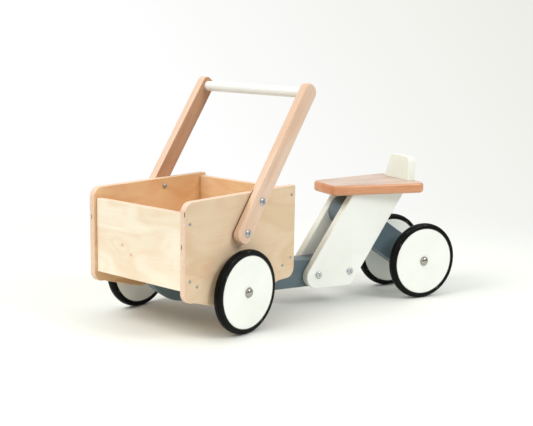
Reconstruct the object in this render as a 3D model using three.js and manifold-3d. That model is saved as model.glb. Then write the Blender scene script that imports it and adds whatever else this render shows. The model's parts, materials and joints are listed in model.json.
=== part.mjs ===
// A four-wheeled wooden ride-on cart with a cargo box that steers, in millimetres, +Z up.
// The rider faces -Y and +X is the rider's left. The box, its handle and the front wheels turn together about
// an upright bolt, and they are drawn here with the steering turned to the rider's left.
// While it is built, y = 0 is the front axle (steering straight) and z = 0 the ground.
import * as THREE from "three";
import { mergeVertices } from "three/addons/utils/BufferGeometryUtils.js";
import Module from "manifold-3d";

const wasm = await Module();
wasm.setup();

// Driving dimensions
const GAP = 0.3; // between touching pieces
const RIM_FACETS = 40;
const SAG = 0.25; // between a rounded corner and its facets
const WHEEL = { radius: 80, discRadius: 69, width: 17.3, boreRadius: 4.3, discEase: 0.8 };
const TYRE = { shoulder: 3.5, bevel: 1, bevelDepth: 1.4, treadDepth: 4 };
const AXLE = { radius: 4, height: 80, wheelbase: 516.3, tip: 3.5, spacerRadius: 9 };
const AXLE_HEAD = { radius: 8, height: 5, bevel: 1.5 };
const CAP = { radius: 9.8, height: 6, flange: 1, boreDepth: 3.8 };
const TRACK = { frontOuter: 153.3, rearOuter: 69.7 };
const STEER = { y: 24, turn: 21.6, boltRadius: 5, tip: 29, washerRadius: 24 };
const STEER_HEAD = { radius: 10, under: 7, cone: 3, sunk: 0.6 }; // depths below the floor's top
const STEER_NUT = { radius: 9.5, height: 8 };

const BOX = { outer: 127.2, ply: 13, front: -141.4, back: 164.4, top: 261.7, bottom: 77.8, corner: 20, backCorner: 4 };
const LOBE = { reach: 118, flat: 28, bottom: 50.5, blend: 40 };
const FRONT_PANEL = { y: -135.2, thick: 12, bottom: 99.3, top: 241.1 };
const REAR_PANEL = { y: 146.4, thick: 12, bottom: 99.3, top: 255.8 };
const FLOOR = { bottom: 100.2, thick: 12 };

const ARM = { thick: 17.8, width: 36, bottom: [-0.15, 189.1], top: [182.15, 439.6], tail: 18.5, edge: 3 };
const ARM_CORNERS = { foot: 14, head: 15 };
const ARM_BOLTS = [["upper", 44.5, 244.7], ["lower", 4.8, 189.6]];
const BAR = { radius: 10.2, socket: 9 };

const BEAM = { half: 20.1, bottom: 39.9, top: 97.5, noseRadius: 80, noseY: -12, backBottom: 350, backTop: 388 };
const PLATE = { inner: 20.4, thick: 18.7, bottom: 38.3, front: 226.9, back: 355, lean: 56.4, edge: 1.5 };
const PLATE_CORNERS = { front: 25, back: 12, top: 3 };
const PLATE_BOLTS = [["front", 275.5, 66.8], ["back", 350.4, 67.9]];
const STAY = { half: 20.1, radius: 31, frontY: 361, frontZ: 186 };

const SEAT = { top: 250, thick: 22.2, front: 303.5, back: 509, halfFront: 42.4, halfBack: 78, edge: 6.5, corner: 14 };
const BACKREST = { y: 485.2, thick: 18, height: 51, halfBase: 44, halfTop: 34, corner: 15, lean: 8 };

const BOLT = { radius: 3, sleeve: 4.6, head: 7.4, headHeight: 2.6, brim: 0.9, socket: 2.2, socketDepth: 1.7 };
const DOME = { inset: 1.4, height: 2.1 }; // of a bolt head, where it turns to its flat top
const ARM_NUT_HEAD = 5.6;
const ARM_BOLT_LENGTH = 28;
const ARM_NUT_LENGTH = 12;
const PLATE_BOLT_PAST_MIDDLE = 14;
const PLATE_NUT_SHORT = 2; // of the middle
const SCREW = { radius: 1.8, head: 2.9, cone: 2.6, brim: 0.5, length: 36, point: 3, sunk: 0.2 };
const THROUGH = 200; // half a bore's length, past anything that it cuts

const X = new THREE.Vector3(1, 0, 0);
const Y = new THREE.Vector3(0, 1, 0);
const Z = new THREE.Vector3(0, 0, 1);
const SIDES = [["left", 1], ["right", -1]];

// Materials
const birch = new THREE.MeshStandardMaterial({ color: 0xe8cfa6, roughness: 0.55, metalness: 0 });
const beech = new THREE.MeshStandardMaterial({ color: 0xdfb896, roughness: 0.5, metalness: 0 });
const whitePaint = new THREE.MeshStandardMaterial({ color: 0xf3f3ef, roughness: 0.4, metalness: 0 });
const slatePaint = new THREE.MeshStandardMaterial({ color: 0x66767f, roughness: 0.45, metalness: 0 });
const rubber = new THREE.MeshStandardMaterial({ color: 0x121212, roughness: 0.7, metalness: 0 });
const chrome = new THREE.MeshStandardMaterial({ color: 0xd9dbdc, roughness: 0.15, metalness: 1 });
const zinc = new THREE.MeshStandardMaterial({ color: 0x9aa3a6, roughness: 0.35, metalness: 1 });
const nylon = new THREE.MeshStandardMaterial({ color: 0x2a2c2d, roughness: 0.5, metalness: 0 });

// A closed geometry as a manifold-3d solid.
function solidOf(geometry) {
  const bare = geometry.clone();
  bare.deleteAttribute("normal");
  bare.deleteAttribute("uv");
  const merged = mergeVertices(bare, 1e-4);
  return new wasm.Manifold(
    new wasm.Mesh({
      numProp: 3,
      vertProperties: merged.attributes.position.array,
      triVerts: new Uint32Array(merged.index.array),
    }),
  );
}

// A geometry with every cutter taken out of it.
function cutOut(geometry, cutters) {
  const solid = cutters.reduce((left, cutter) => left.subtract(solidOf(cutter)), solidOf(geometry));
  const mesh = solid.getMesh();
  const cut = new THREE.BufferGeometry();
  cut.setAttribute("position", new THREE.BufferAttribute(mesh.vertProperties, 3));
  cut.setIndex(new THREE.BufferAttribute(mesh.triVerts, 1));
  cut.computeVertexNormals();
  return cut;
}

// An anticlockwise outline from corners [a, b, radius], each rounded by facets that leave the arc by at most SAG.
function roundedShape(corners) {
  const points = corners.flatMap(([a, b, radius], i) => {
    const here = new THREE.Vector2(a, b);
    const before = new THREE.Vector2(...corners.at(i - 1)).sub(here).normalize();
    const after = new THREE.Vector2(...corners[(i + 1) % corners.length]).sub(here).normalize();
    const half = Math.acos(THREE.MathUtils.clamp(before.dot(after), -1, 1)) / 2;
    const centre = before.clone().add(after).setLength(radius / Math.sin(half)).add(here);
    const start = here.clone().addScaledVector(before, radius / Math.tan(half));
    const sweep = (Math.PI - 2 * half) * Math.sign(after.cross(before));
    const facets = Math.ceil(Math.abs(sweep) / (2 * Math.acos(1 - SAG / radius)));
    const steps = Array.from({ length: facets + 1 }, (_, step) => step / facets);
    return steps.map((part) => start.clone().rotateAround(centre, sweep * part));
  });
  return new THREE.Shape(points);
}

// A board from a flat outline, its two faces' edges eased by `edge` in `steps` facets.
function board(shape, thick, edge, steps = 1, curveSegments = 1) {
  const geometry = new THREE.ExtrudeGeometry(shape, {
    depth: thick - 2 * edge,
    curveSegments,
    bevelEnabled: edge > 0,
    bevelThickness: edge,
    bevelSize: edge,
    bevelOffset: -edge,
    bevelSegments: steps,
  });
  return geometry.translate(0, 0, edge);
}

// A board whose outline is in (y, z), with its thickness from x to x + thick.
function boardAlongX(shape, x, thick, edge, steps, curveSegments) {
  const geometry = board(shape, thick, edge, steps, curveSegments);
  return geometry.applyMatrix4(new THREE.Matrix4().makeBasis(Y, Z, X)).translate(x, 0, 0);
}

// A board whose outline is in (x, z), with its thickness from y to y + thick.
function boardAlongY(shape, y, thick, edge, steps) {
  const geometry = board(shape, thick, edge, steps);
  const back = Y.clone().negate();
  return geometry.applyMatrix4(new THREE.Matrix4().makeBasis(X, Z, back)).translate(0, y + thick, 0);
}

// A turned piece from (radius, height) points, its height axis laid along `axis` from `foot`.
function turned(points, axis, foot, segments = 16) {
  const profile = points.map(([r, h]) => new THREE.Vector2(r, h));
  const geometry = new THREE.LatheGeometry(profile, segments);
  const turn = new THREE.Quaternion().setFromUnitVectors(Y, axis);
  return geometry.applyQuaternion(turn).translate(...foot);
}

// A plain rod between two heights on an axis.
function rod(radius, from, to, axis, foot, segments = 16) {
  return turned([[0, from], [radius, from], [radius, to], [0, to]], axis, foot, segments);
}

function ring(inner, outer, from, to, axis, foot, segments = 16) {
  const points = [[inner, from], [outer, from], [outer, to], [inner, to], [inner, from]];
  return turned(points, axis, foot, segments);
}

function outward(side) {
  return side > 0 ? X : X.clone().negate();
}

function add(group, name, geometry, material) {
  const mesh = new THREE.Mesh(geometry, material);
  mesh.name = name;
  group.add(mesh);
}

// Wheels and their fittings, laid along +X from the wheel's inner face
function addWheel(group, name, side, outerX, y) {
  const axis = outward(side);
  const middle = [side * (outerX - WHEEL.width / 2), y, AXLE.height];
  const half = WHEEL.width / 2;
  const rim = WHEEL.discRadius;
  const { discEase } = WHEEL;
  const disc = [
    [WHEEL.boreRadius, -half],
    [rim - discEase, -half],
    [rim, discEase - half],
    [rim, half - discEase],
    [rim - discEase, half],
    [WHEEL.boreRadius, half],
    [WHEEL.boreRadius, -half],
  ];
  const shoulder = WHEEL.radius - TYRE.shoulder;
  const bevel = WHEEL.radius - TYRE.bevel;
  const tyre = [
    [rim + GAP, -half],
    [shoulder, -half],
    [bevel, TYRE.bevelDepth - half],
    [WHEEL.radius, TYRE.treadDepth - half],
    [WHEEL.radius, half - TYRE.treadDepth],
    [bevel, half - TYRE.bevelDepth],
    [shoulder, half],
    [rim + GAP, half],
    [rim + GAP, -half],
  ];
  add(group, `${name}_disc`, turned(disc, axis, middle, RIM_FACETS), whitePaint);
  add(group, `${name}_tyre`, turned(tyre, axis, middle, RIM_FACETS), rubber);
}

function addAxleCap(group, name, side, outerX, y) {
  const arc = [70, 50, 25].map((degrees) => {
    const angle = THREE.MathUtils.degToRad(degrees);
    return [CAP.radius * Math.sin(angle), CAP.flange + (CAP.height - CAP.flange) * Math.cos(angle)];
  });
  const points = [
    [0, CAP.boreDepth],
    [WHEEL.boreRadius, CAP.boreDepth],
    [WHEEL.boreRadius, 0],
    [CAP.radius, 0],
    [CAP.radius, CAP.flange],
    ...arc,
    [0, CAP.height],
  ];
  const foot = [side * (outerX + GAP), y, AXLE.height];
  add(group, name, turned(points, outward(side), foot), chrome);
}

// Domed bolt head from its underside at height 0, with a round socket in its face.
function boltHead(radius) {
  return [
    [radius, 0],
    [radius, BOLT.brim],
    [radius - DOME.inset, DOME.height],
    [BOLT.socket, BOLT.headHeight],
    [BOLT.socket, BOLT.headHeight - BOLT.socketDepth],
    [0, BOLT.headHeight - BOLT.socketDepth],
  ];
}

// Connector bolt with its head's underside at `foot`, reaching `length` inwards.
function connectorBolt(length, axis, foot) {
  const shank = [[0, -length], [BOLT.radius, -length], [BOLT.radius, 0]];
  return turned([...shank, ...boltHead(BOLT.head)], axis, foot, 12);
}

// Sleeve nut that takes a connector bolt in its bore, with its head's underside at `foot`.
function sleeveNut(length, head, axis, foot) {
  const bore = BOLT.radius + GAP;
  const sleeve = [[0, -1], [bore, -1], [bore, -length], [BOLT.sleeve, -length], [BOLT.sleeve, 0]];
  return turned([...sleeve, ...boltHead(head)], axis, foot, 12);
}

// Rear frame
function beamGeometry() {
  const centreZ = BEAM.bottom + BEAM.noseRadius;
  const topAngle = Math.PI + Math.asin((centreZ - BEAM.top) / BEAM.noseRadius);
  const shape = new THREE.Shape();
  shape.moveTo(BEAM.backBottom, BEAM.bottom);
  shape.lineTo(BEAM.backTop, BEAM.top);
  shape.absarc(BEAM.noseY, centreZ, BEAM.noseRadius, topAngle, Math.PI * 1.5, false);
  const geometry = boardAlongX(shape, -BEAM.half, 2 * BEAM.half, 2, 1, 9);
  const bores = PLATE_BOLTS.map(([, y, z]) => rod(BOLT.sleeve + GAP, -THROUGH, THROUGH, X, [0, y, z], 12));
  bores.push(rod(STEER.boltRadius + GAP, 0, THROUGH, Z, [0, STEER.y, 0]));
  return cutOut(geometry, bores);
}

// Height of a leaning plate edge turned into its distance rearwards.
function leanAt(z) {
  return (z - PLATE.bottom) / Math.tan(THREE.MathUtils.degToRad(PLATE.lean));
}

function plateGeometry(side) {
  const top = SEAT.top - SEAT.thick - GAP;
  const shape = roundedShape([
    [PLATE.front, PLATE.bottom, PLATE_CORNERS.front],
    [PLATE.back, PLATE.bottom, PLATE_CORNERS.back],
    [PLATE.back + leanAt(top), top, PLATE_CORNERS.top],
    [PLATE.front + leanAt(top), top, PLATE_CORNERS.top],
  ]);
  const x = side > 0 ? PLATE.inner : -PLATE.inner - PLATE.thick;
  const radius = (side > 0 ? BOLT.radius : BOLT.sleeve) + GAP;
  const bores = PLATE_BOLTS.map(([, y, z]) => rod(radius, -THROUGH, THROUGH, X, [0, y, z], 12));
  return cutOut(boardAlongX(shape, x, PLATE.thick, PLATE.edge), bores);
}

function stayGeometry() {
  const run = AXLE.wheelbase - STAY.frontY;
  const drop = STAY.frontZ - AXLE.height;
  const tilt = Math.atan2(-drop, run);
  const shape = new THREE.Shape();
  shape.absarc(STAY.frontY, STAY.frontZ, STAY.radius, tilt + Math.PI / 2, tilt + Math.PI * 1.5, false);
  shape.absarc(AXLE.wheelbase, AXLE.height, STAY.radius, tilt - Math.PI / 2, tilt + Math.PI / 2, false);
  const geometry = boardAlongX(shape, -STAY.half, 2 * STAY.half, 2, 1, 10);
  return cutOut(geometry, [rod(WHEEL.boreRadius, -THROUGH, THROUGH, X, [0, AXLE.wheelbase, AXLE.height])]);
}

function seatGeometry() {
  const shape = roundedShape([
    [-SEAT.halfFront, SEAT.front, SEAT.corner],
    [SEAT.halfFront, SEAT.front, SEAT.corner],
    [SEAT.halfBack, SEAT.back, SEAT.corner],
    [-SEAT.halfBack, SEAT.back, SEAT.corner],
  ]);
  return board(shape, SEAT.thick, SEAT.edge, 2).translate(0, 0, SEAT.top - SEAT.thick);
}

// The backrest leans back, so it starts below the seat's top and is cut level there.
function backrestGeometry() {
  const sunk = 10;
  const slope = (BACKREST.halfBase - BACKREST.halfTop) / BACKREST.height;
  const wide = BACKREST.halfBase + slope * sunk;
  const shape = roundedShape([
    [-wide, -sunk, 3],
    [wide, -sunk, 3],
    [BACKREST.halfTop, BACKREST.height, BACKREST.corner],
    [-BACKREST.halfTop, BACKREST.height, BACKREST.corner],
  ]);
  const geometry = boardAlongY(shape, 0, BACKREST.thick, 2);
  geometry.rotateX(-THREE.MathUtils.degToRad(BACKREST.lean));
  geometry.translate(0, BACKREST.y, SEAT.top);
  const below = new THREE.BoxGeometry(200, 200, 40).translate(0, BACKREST.y, SEAT.top + GAP - 20);
  return cutOut(geometry, [below]);
}

function addRearFrame(group) {
  add(group, "frame_beam", beamGeometry(), slatePaint);
  add(group, "rear_stay", stayGeometry(), slatePaint);
  add(group, "seat_board", seatGeometry(), beech);
  add(group, "seat_backrest", backrestGeometry(), whitePaint);
  const plateOuter = PLATE.inner + PLATE.thick + GAP;
  for (const [name, side] of SIDES) {
    add(group, `side_plate_${name}`, plateGeometry(side), whitePaint);
  }
  for (const [name, y, z] of PLATE_BOLTS) {
    const bolt = connectorBolt(plateOuter + PLATE_BOLT_PAST_MIDDLE, outward(1), [plateOuter, y, z]);
    const nut = sleeveNut(plateOuter - PLATE_NUT_SHORT, BOLT.head, outward(-1), [-plateOuter, y, z]);
    add(group, `plate_bolt_${name}`, bolt, zinc);
    add(group, `plate_nut_${name}`, nut, zinc);
  }
}

function addRearAxle(group) {
  const foot = [0, AXLE.wheelbase, AXLE.height];
  const reach = TRACK.rearOuter + AXLE.tip;
  add(group, "rear_axle_rod", rod(AXLE.radius, -reach, reach, X, foot), zinc);
  const from = STAY.half + GAP;
  const to = TRACK.rearOuter - WHEEL.width - GAP;
  for (const [name, side] of SIDES) {
    const spacer = ring(WHEEL.boreRadius, AXLE.spacerRadius, from, to, outward(side), foot);
    add(group, `rear_spacer_${name}`, spacer, nylon);
    addWheel(group, `rear_wheel_${name}`, side, TRACK.rearOuter, AXLE.wheelbase);
    addAxleCap(group, `rear_cap_${name}`, side, TRACK.rearOuter, AXLE.wheelbase);
  }
}

// Steering bolt, fixed in the beam: the box turns on it over the washer.
function addSteering(group) {
  const floorTop = FLOOR.bottom + FLOOR.thick;
  const bolt = [
    [0, STEER.tip],
    [STEER.boltRadius, STEER.tip],
    [STEER.boltRadius, floorTop - STEER_HEAD.under],
    [STEER_HEAD.radius, floorTop - STEER_HEAD.cone],
    [STEER_HEAD.radius, floorTop - STEER_HEAD.sunk],
    [0, floorTop - STEER_HEAD.sunk],
  ];
  const foot = [0, STEER.y, 0];
  const hole = STEER.boltRadius + GAP;
  add(group, "steering_bolt", turned(bolt, Z, foot), zinc);
  const washer = ring(hole, STEER.washerRadius, BEAM.top + GAP, FLOOR.bottom - GAP, Z, foot);
  add(group, "steering_washer", washer, nylon);
  const hexHole = hole / Math.cos(Math.PI / 6);
  const nutTop = BEAM.bottom - GAP;
  const nut = ring(hexHole, STEER_NUT.radius, nutTop - STEER_NUT.height, nutTop, Z, foot, 6);
  add(group, "steering_nut", nut, zinc);
}

// Cargo box. A screw is named by its panel, and its place is in (y, z) on the side panel.
function screwPlaces() {
  const frontY = FRONT_PANEL.y + FRONT_PANEL.thick / 2;
  const rearY = REAR_PANEL.y + REAR_PANEL.thick / 2;
  const floorZ = FLOOR.bottom + FLOOR.thick / 2;
  return [
    ["front_upper", frontY, 222.3],
    ["front_lower", frontY, 119],
    ["floor_front", -111, floorZ],
    ["floor_rear", 128, floorZ],
    ["rear_upper", rearY, 242.8],
    ["rear_lower", rearY, 118],
  ];
}

// A countersunk screw driven inwards from the side panel's face, or the hole that takes it.
function screwGeometry(side, y, z, grow) {
  const face = grow ? 1 : -SCREW.sunk;
  const head = SCREW.head + grow;
  const shank = SCREW.radius + grow;
  const points = [
    [0, -SCREW.length - grow],
    [shank, SCREW.point - SCREW.length - grow],
    [shank, -SCREW.cone],
    [head, -SCREW.brim],
    [head, face],
    [0, face],
  ];
  return turned(points, outward(side), [side * BOX.outer, y, z], 8);
}

function screwHoles() {
  return SIDES.flatMap(([, side]) => screwPlaces().map(([, y, z]) => screwGeometry(side, y, z, GAP)));
}

function sidePanelGeometry(side) {
  const shape = roundedShape([
    [BOX.front, BOX.bottom, BOX.corner],
    [-LOBE.reach, BOX.bottom, 1],
    [-LOBE.flat, LOBE.bottom, LOBE.blend],
    [LOBE.flat, LOBE.bottom, LOBE.blend],
    [LOBE.reach, BOX.bottom, LOBE.blend],
    [BOX.back, BOX.bottom, BOX.corner],
    [BOX.back, BOX.top, BOX.backCorner],
    [BOX.front, BOX.top, BOX.corner],
  ]);
  const x = side > 0 ? BOX.outer - BOX.ply : -BOX.outer;
  const bores = ARM_BOLTS.map(([, y, z]) => rod(BOLT.sleeve + GAP, -THROUGH, THROUGH, X, [0, y, z], 12));
  bores.push(rod(WHEEL.boreRadius, -THROUGH, THROUGH, X, [0, 0, AXLE.height]));
  return cutOut(boardAlongX(shape, x, BOX.ply, 1.2), [...bores, ...screwHoles()]);
}

function crossPanelGeometry(panel) {
  const half = BOX.outer - BOX.ply - GAP;
  const shape = roundedShape([
    [-half, panel.bottom, 1.5],
    [half, panel.bottom, 1.5],
    [half, panel.top, 1.5],
    [-half, panel.top, 1.5],
  ]);
  return cutOut(boardAlongY(shape, panel.y, panel.thick, 0.8), screwHoles());
}

function floorGeometry() {
  const half = BOX.outer - BOX.ply - GAP;
  const front = FRONT_PANEL.y + FRONT_PANEL.thick + GAP;
  const back = REAR_PANEL.y - GAP;
  const depth = back - front;
  const slab = new THREE.BoxGeometry(2 * half, depth, FLOOR.thick);
  slab.translate(0, front + depth / 2, FLOOR.bottom + FLOOR.thick / 2);
  const top = FLOOR.bottom + FLOOR.thick;
  const shank = STEER.boltRadius + GAP;
  const head = STEER_HEAD.radius + GAP;
  const above = top + FLOOR.thick;
  const sink = [
    [0, 0],
    [shank, 0],
    [shank, top - STEER_HEAD.under - GAP],
    [head, top - STEER_HEAD.cone - GAP],
    [head, above],
    [0, above],
  ];
  return cutOut(slab, [turned(sink, Z, [0, STEER.y, 0]), ...screwHoles()]);
}

function addBox(group) {
  add(group, "box_panel_front", crossPanelGeometry(FRONT_PANEL), birch);
  add(group, "box_panel_rear", crossPanelGeometry(REAR_PANEL), birch);
  add(group, "box_floor", floorGeometry(), birch);
  for (const [name, side] of SIDES) {
    add(group, `box_panel_${name}`, sidePanelGeometry(side), birch);
    for (const [place, y, z] of screwPlaces()) {
      add(group, `screw_${place}_${name}`, screwGeometry(side, y, z, 0), zinc);
    }
  }
}

// Handle arms lie against the outside of the box and hold the grip bar between their tops.
function armGeometry(side) {
  const [footY, footZ] = ARM.bottom;
  const [topY, topZ] = ARM.top;
  const length = Math.hypot(topY - footY, topZ - footZ);
  const rise = Math.atan2(topZ - footZ, topY - footY);
  const half = ARM.width / 2;
  const shape = roundedShape([
    [-ARM.tail, -half, ARM_CORNERS.foot],
    [length + half, -half, ARM_CORNERS.head],
    [length + half, half, ARM_CORNERS.head],
    [-ARM.tail, half, ARM_CORNERS.foot],
  ]);
  const x = side > 0 ? BOX.outer + GAP : -BOX.outer - GAP - ARM.thick;
  const geometry = board(shape, ARM.thick, ARM.edge).rotateZ(rise).translate(footY, footZ, 0);
  geometry.applyMatrix4(new THREE.Matrix4().makeBasis(Y, Z, X)).translate(x, 0, 0);
  const bores = ARM_BOLTS.map(([, y, z]) => rod(BOLT.radius + GAP, -THROUGH, THROUGH, X, [0, y, z], 12));
  const socketEnd = BOX.outer + GAP + BAR.socket;
  bores.push(rod(BAR.radius + GAP, -socketEnd, socketEnd, X, [0, topY, topZ]));
  return cutOut(geometry, bores);
}

function addHandle(group) {
  const [topY, topZ] = ARM.top;
  const reach = BOX.outer + BAR.socket;
  add(group, "grip_bar", rod(BAR.radius, -reach, reach, X, [0, topY, topZ]), whitePaint);
  const face = BOX.outer + GAP + ARM.thick + GAP;
  const inside = BOX.outer - BOX.ply - GAP;
  for (const [name, side] of SIDES) {
    add(group, `handle_arm_${name}`, armGeometry(side), beech);
    for (const [place, y, z] of ARM_BOLTS) {
      const bolt = connectorBolt(ARM_BOLT_LENGTH, outward(side), [side * face, y, z]);
      const nut = sleeveNut(ARM_NUT_LENGTH, ARM_NUT_HEAD, outward(-side), [side * inside, y, z]);
      add(group, `arm_bolt_${place}_${name}`, bolt, zinc);
      add(group, `arm_nut_${place}_${name}`, nut, zinc);
    }
  }
}

// Each front wheel runs on its own bolt, put through the box's side panel from inside.
function addFrontWheels(group) {
  const inside = BOX.outer - BOX.ply - GAP;
  const headTop = inside - AXLE_HEAD.height;
  const tip = TRACK.frontOuter + AXLE.tip;
  const bolt = [
    [0, headTop],
    [AXLE_HEAD.radius - AXLE_HEAD.bevel, headTop],
    [AXLE_HEAD.radius, headTop + AXLE_HEAD.bevel],
    [AXLE_HEAD.radius, inside],
    [AXLE.radius, inside],
    [AXLE.radius, tip],
    [0, tip],
  ];
  const foot = [0, 0, AXLE.height];
  for (const [name, side] of SIDES) {
    const axis = outward(side);
    add(group, `front_axle_bolt_${name}`, turned(bolt, axis, foot), zinc);
    const to = TRACK.frontOuter - WHEEL.width - GAP;
    const spacer = ring(WHEEL.boreRadius, AXLE.spacerRadius, BOX.outer + GAP, to, axis, foot);
    add(group, `front_spacer_${name}`, spacer, nylon);
    addWheel(group, `front_wheel_${name}`, side, TRACK.frontOuter, 0);
    addAxleCap(group, `front_cap_${name}`, side, TRACK.frontOuter, 0);
  }
}

// The steered group's children are placed from the front axle, and it turns about the steering bolt.
function steeredGroup() {
  const pieces = new THREE.Group();
  pieces.position.y = -STEER.y;
  addBox(pieces);
  addHandle(pieces);
  addFrontWheels(pieces);
  const steered = new THREE.Group();
  steered.position.y = STEER.y;
  steered.rotation.z = THREE.MathUtils.degToRad(STEER.turn);
  steered.add(pieces);
  return steered;
}

// The origin ends at the middle of the whole cart's footprint, on the ground.
function cart() {
  const model = new THREE.Group();
  addRearFrame(model);
  addRearAxle(model);
  addSteering(model);
  model.add(steeredGroup());
  model.updateMatrixWorld(true);
  const box = new THREE.Box3().setFromObject(model, true);
  const centre = box.getCenter(new THREE.Vector3());
  model.position.set(-centre.x, -centre.y, -box.min.z);
  const root = new THREE.Group();
  root.add(model);
  return root;
}

export default cart();
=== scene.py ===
"""Looks of a wooden ride-on cargo cart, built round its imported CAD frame.

Sizes are in millimetres, as a joiner would write them, and become metres when a mesh or a place is made.
The rider faces -Y and +X is the rider's left. The rear frame is placed from the front axle's middle on the
ground, as drawn with the steering straight; the box, handle and front wheels are placed from the same point
and turned about the steering bolt.
"""

import json
import logging
import math
from collections.abc import Sequence
from dataclasses import dataclass, field
from enum import Enum
from typing import Any

import bmesh
import bpy
from mathutils import Matrix, Vector

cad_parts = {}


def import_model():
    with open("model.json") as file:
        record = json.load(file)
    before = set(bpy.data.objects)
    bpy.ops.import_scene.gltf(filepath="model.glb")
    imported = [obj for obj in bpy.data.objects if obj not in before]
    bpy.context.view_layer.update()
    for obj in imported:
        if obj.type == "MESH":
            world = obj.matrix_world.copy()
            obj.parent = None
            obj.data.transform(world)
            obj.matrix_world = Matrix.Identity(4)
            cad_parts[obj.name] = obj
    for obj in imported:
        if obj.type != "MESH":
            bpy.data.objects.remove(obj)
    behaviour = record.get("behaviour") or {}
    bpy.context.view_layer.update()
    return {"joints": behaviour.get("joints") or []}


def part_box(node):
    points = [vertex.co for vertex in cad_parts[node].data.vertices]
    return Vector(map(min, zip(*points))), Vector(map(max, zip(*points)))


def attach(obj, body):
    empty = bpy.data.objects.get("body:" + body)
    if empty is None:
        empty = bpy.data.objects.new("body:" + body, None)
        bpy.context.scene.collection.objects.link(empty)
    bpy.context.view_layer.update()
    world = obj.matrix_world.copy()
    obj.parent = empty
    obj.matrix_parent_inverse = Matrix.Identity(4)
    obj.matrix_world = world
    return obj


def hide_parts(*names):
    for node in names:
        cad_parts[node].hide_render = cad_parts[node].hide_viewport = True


Point = tuple[float, float]
Corner = tuple[float, float, float]
Rgba = tuple[float, float, float, float]

LOG = logging.getLogger("cart")
MM = 0.001
GAP = 0.3  # between touching pieces
SHARP = math.radians(32)  # edges that bend more than this are drawn crisp
NARROW = 0.75  # faces whose normal has less of local z than this belong to a board's rim
SEED_STEP = (3.7, 9.1, 5.3)  # how far apart two seeds lie in the noise

# Sizes that more than one sub-assembly needs
WHEELBASE = 516.3
AXLE_Z = 80.0
AXLE_RADIUS = 4.0
AXLE_HOLE = AXLE_RADIUS + GAP
FRONT_OUTER_X = 153.3  # outer faces of the wheels' discs
REAR_OUTER_X = 69.7
WHEEL_WIDTH = 17.3
PLATE_INNER = 20.4
STEERING_Y = 24.0
STEERING_HOLE = 5.0 + GAP
BEAM_BOTTOM, BEAM_TOP = 39.9, 97.5
FLOOR_BOTTOM = 100.2
CROSS_THICK = 12.0
BOX_OUTER = 127.2
PLY = 13.0
ARM_BOLTS = (("upper", 44.5, 244.7), ("lower", 4.8, 189.6))

X = Vector((1, 0, 0))
Y = Vector((0, 1, 0))
Z = Vector((0, 0, 1))


class Side(Enum):
    """The rider's left or right, as the sign of x."""

    LEFT = 1
    RIGHT = -1

    @property
    def word(self) -> str:
        """The side as it stands in a piece's name."""
        return self.name.lower()


class Body(Enum):
    """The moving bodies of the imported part."""

    REAR_FRAME = "rear_frame"
    CARGO_BOX = "cargo_box"


class Slot(Enum):
    """The record's material slots."""

    BIRCH = "birch_ply"
    BEECH = "beech"
    WHITE = "white_paint"
    SLATE = "slate_paint"
    TYRE = "tyre"
    CHROME = "chrome"
    ZINC = "zinc"
    NYLON = "nylon"

    @property
    def word(self) -> str:
        """What the names of the pieces that take this slot start with."""
        words = {"birch_ply": "birch", "white_paint": "painted", "slate_paint": "slate"}
        words |= {"tyre": "rubber", "chrome": "bright"}
        return words.get(self.value, self.value)


# Colour and shader nodes


def linear(code: str) -> Rgba:
    """Turns an sRGB hex colour to linear.

    Args:
        code: six hex digits, such as "f2dcc7".

    Returns:
        Red, green, blue and a full alpha.
    """
    shares = [int(code[i : i + 2], 16) / 255 for i in (0, 2, 4)]
    red, green, blue = (s / 12.92 if s <= 0.04045 else ((s + 0.055) / 1.055) ** 2.4 for s in shares)
    return red, green, blue, 1.0


def add_node(
    tree: bpy.types.NodeTree, kind: str, sockets: dict | None = None, stops: Sequence = (), **settings: Any
) -> bpy.types.Node:
    """Adds one shader node with its settings and links.

    Args:
        tree: the tree that gets the node.
        kind: Blender's name of the node's type.
        sockets: an input's name or number to a constant, or to the output socket linked to it.
        stops: (place, colour) of each stop, for a colour ramp.
        settings: the node's own properties.

    Returns:
        The new node.
    """
    node = tree.nodes.new(kind)
    for name, value in settings.items():
        setattr(node, name, value)
    for key, value in (sockets or {}).items():
        if isinstance(value, bpy.types.NodeSocket):
            tree.links.new(value, node.inputs[key])
        else:
            node.inputs[key].default_value = value
    for place, (at, colour) in enumerate(stops):
        ramp = node.color_ramp.elements
        stop = ramp[place] if place < 2 else ramp.new(at)
        stop.position, stop.color = at, colour
    return node


# Finishes


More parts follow.
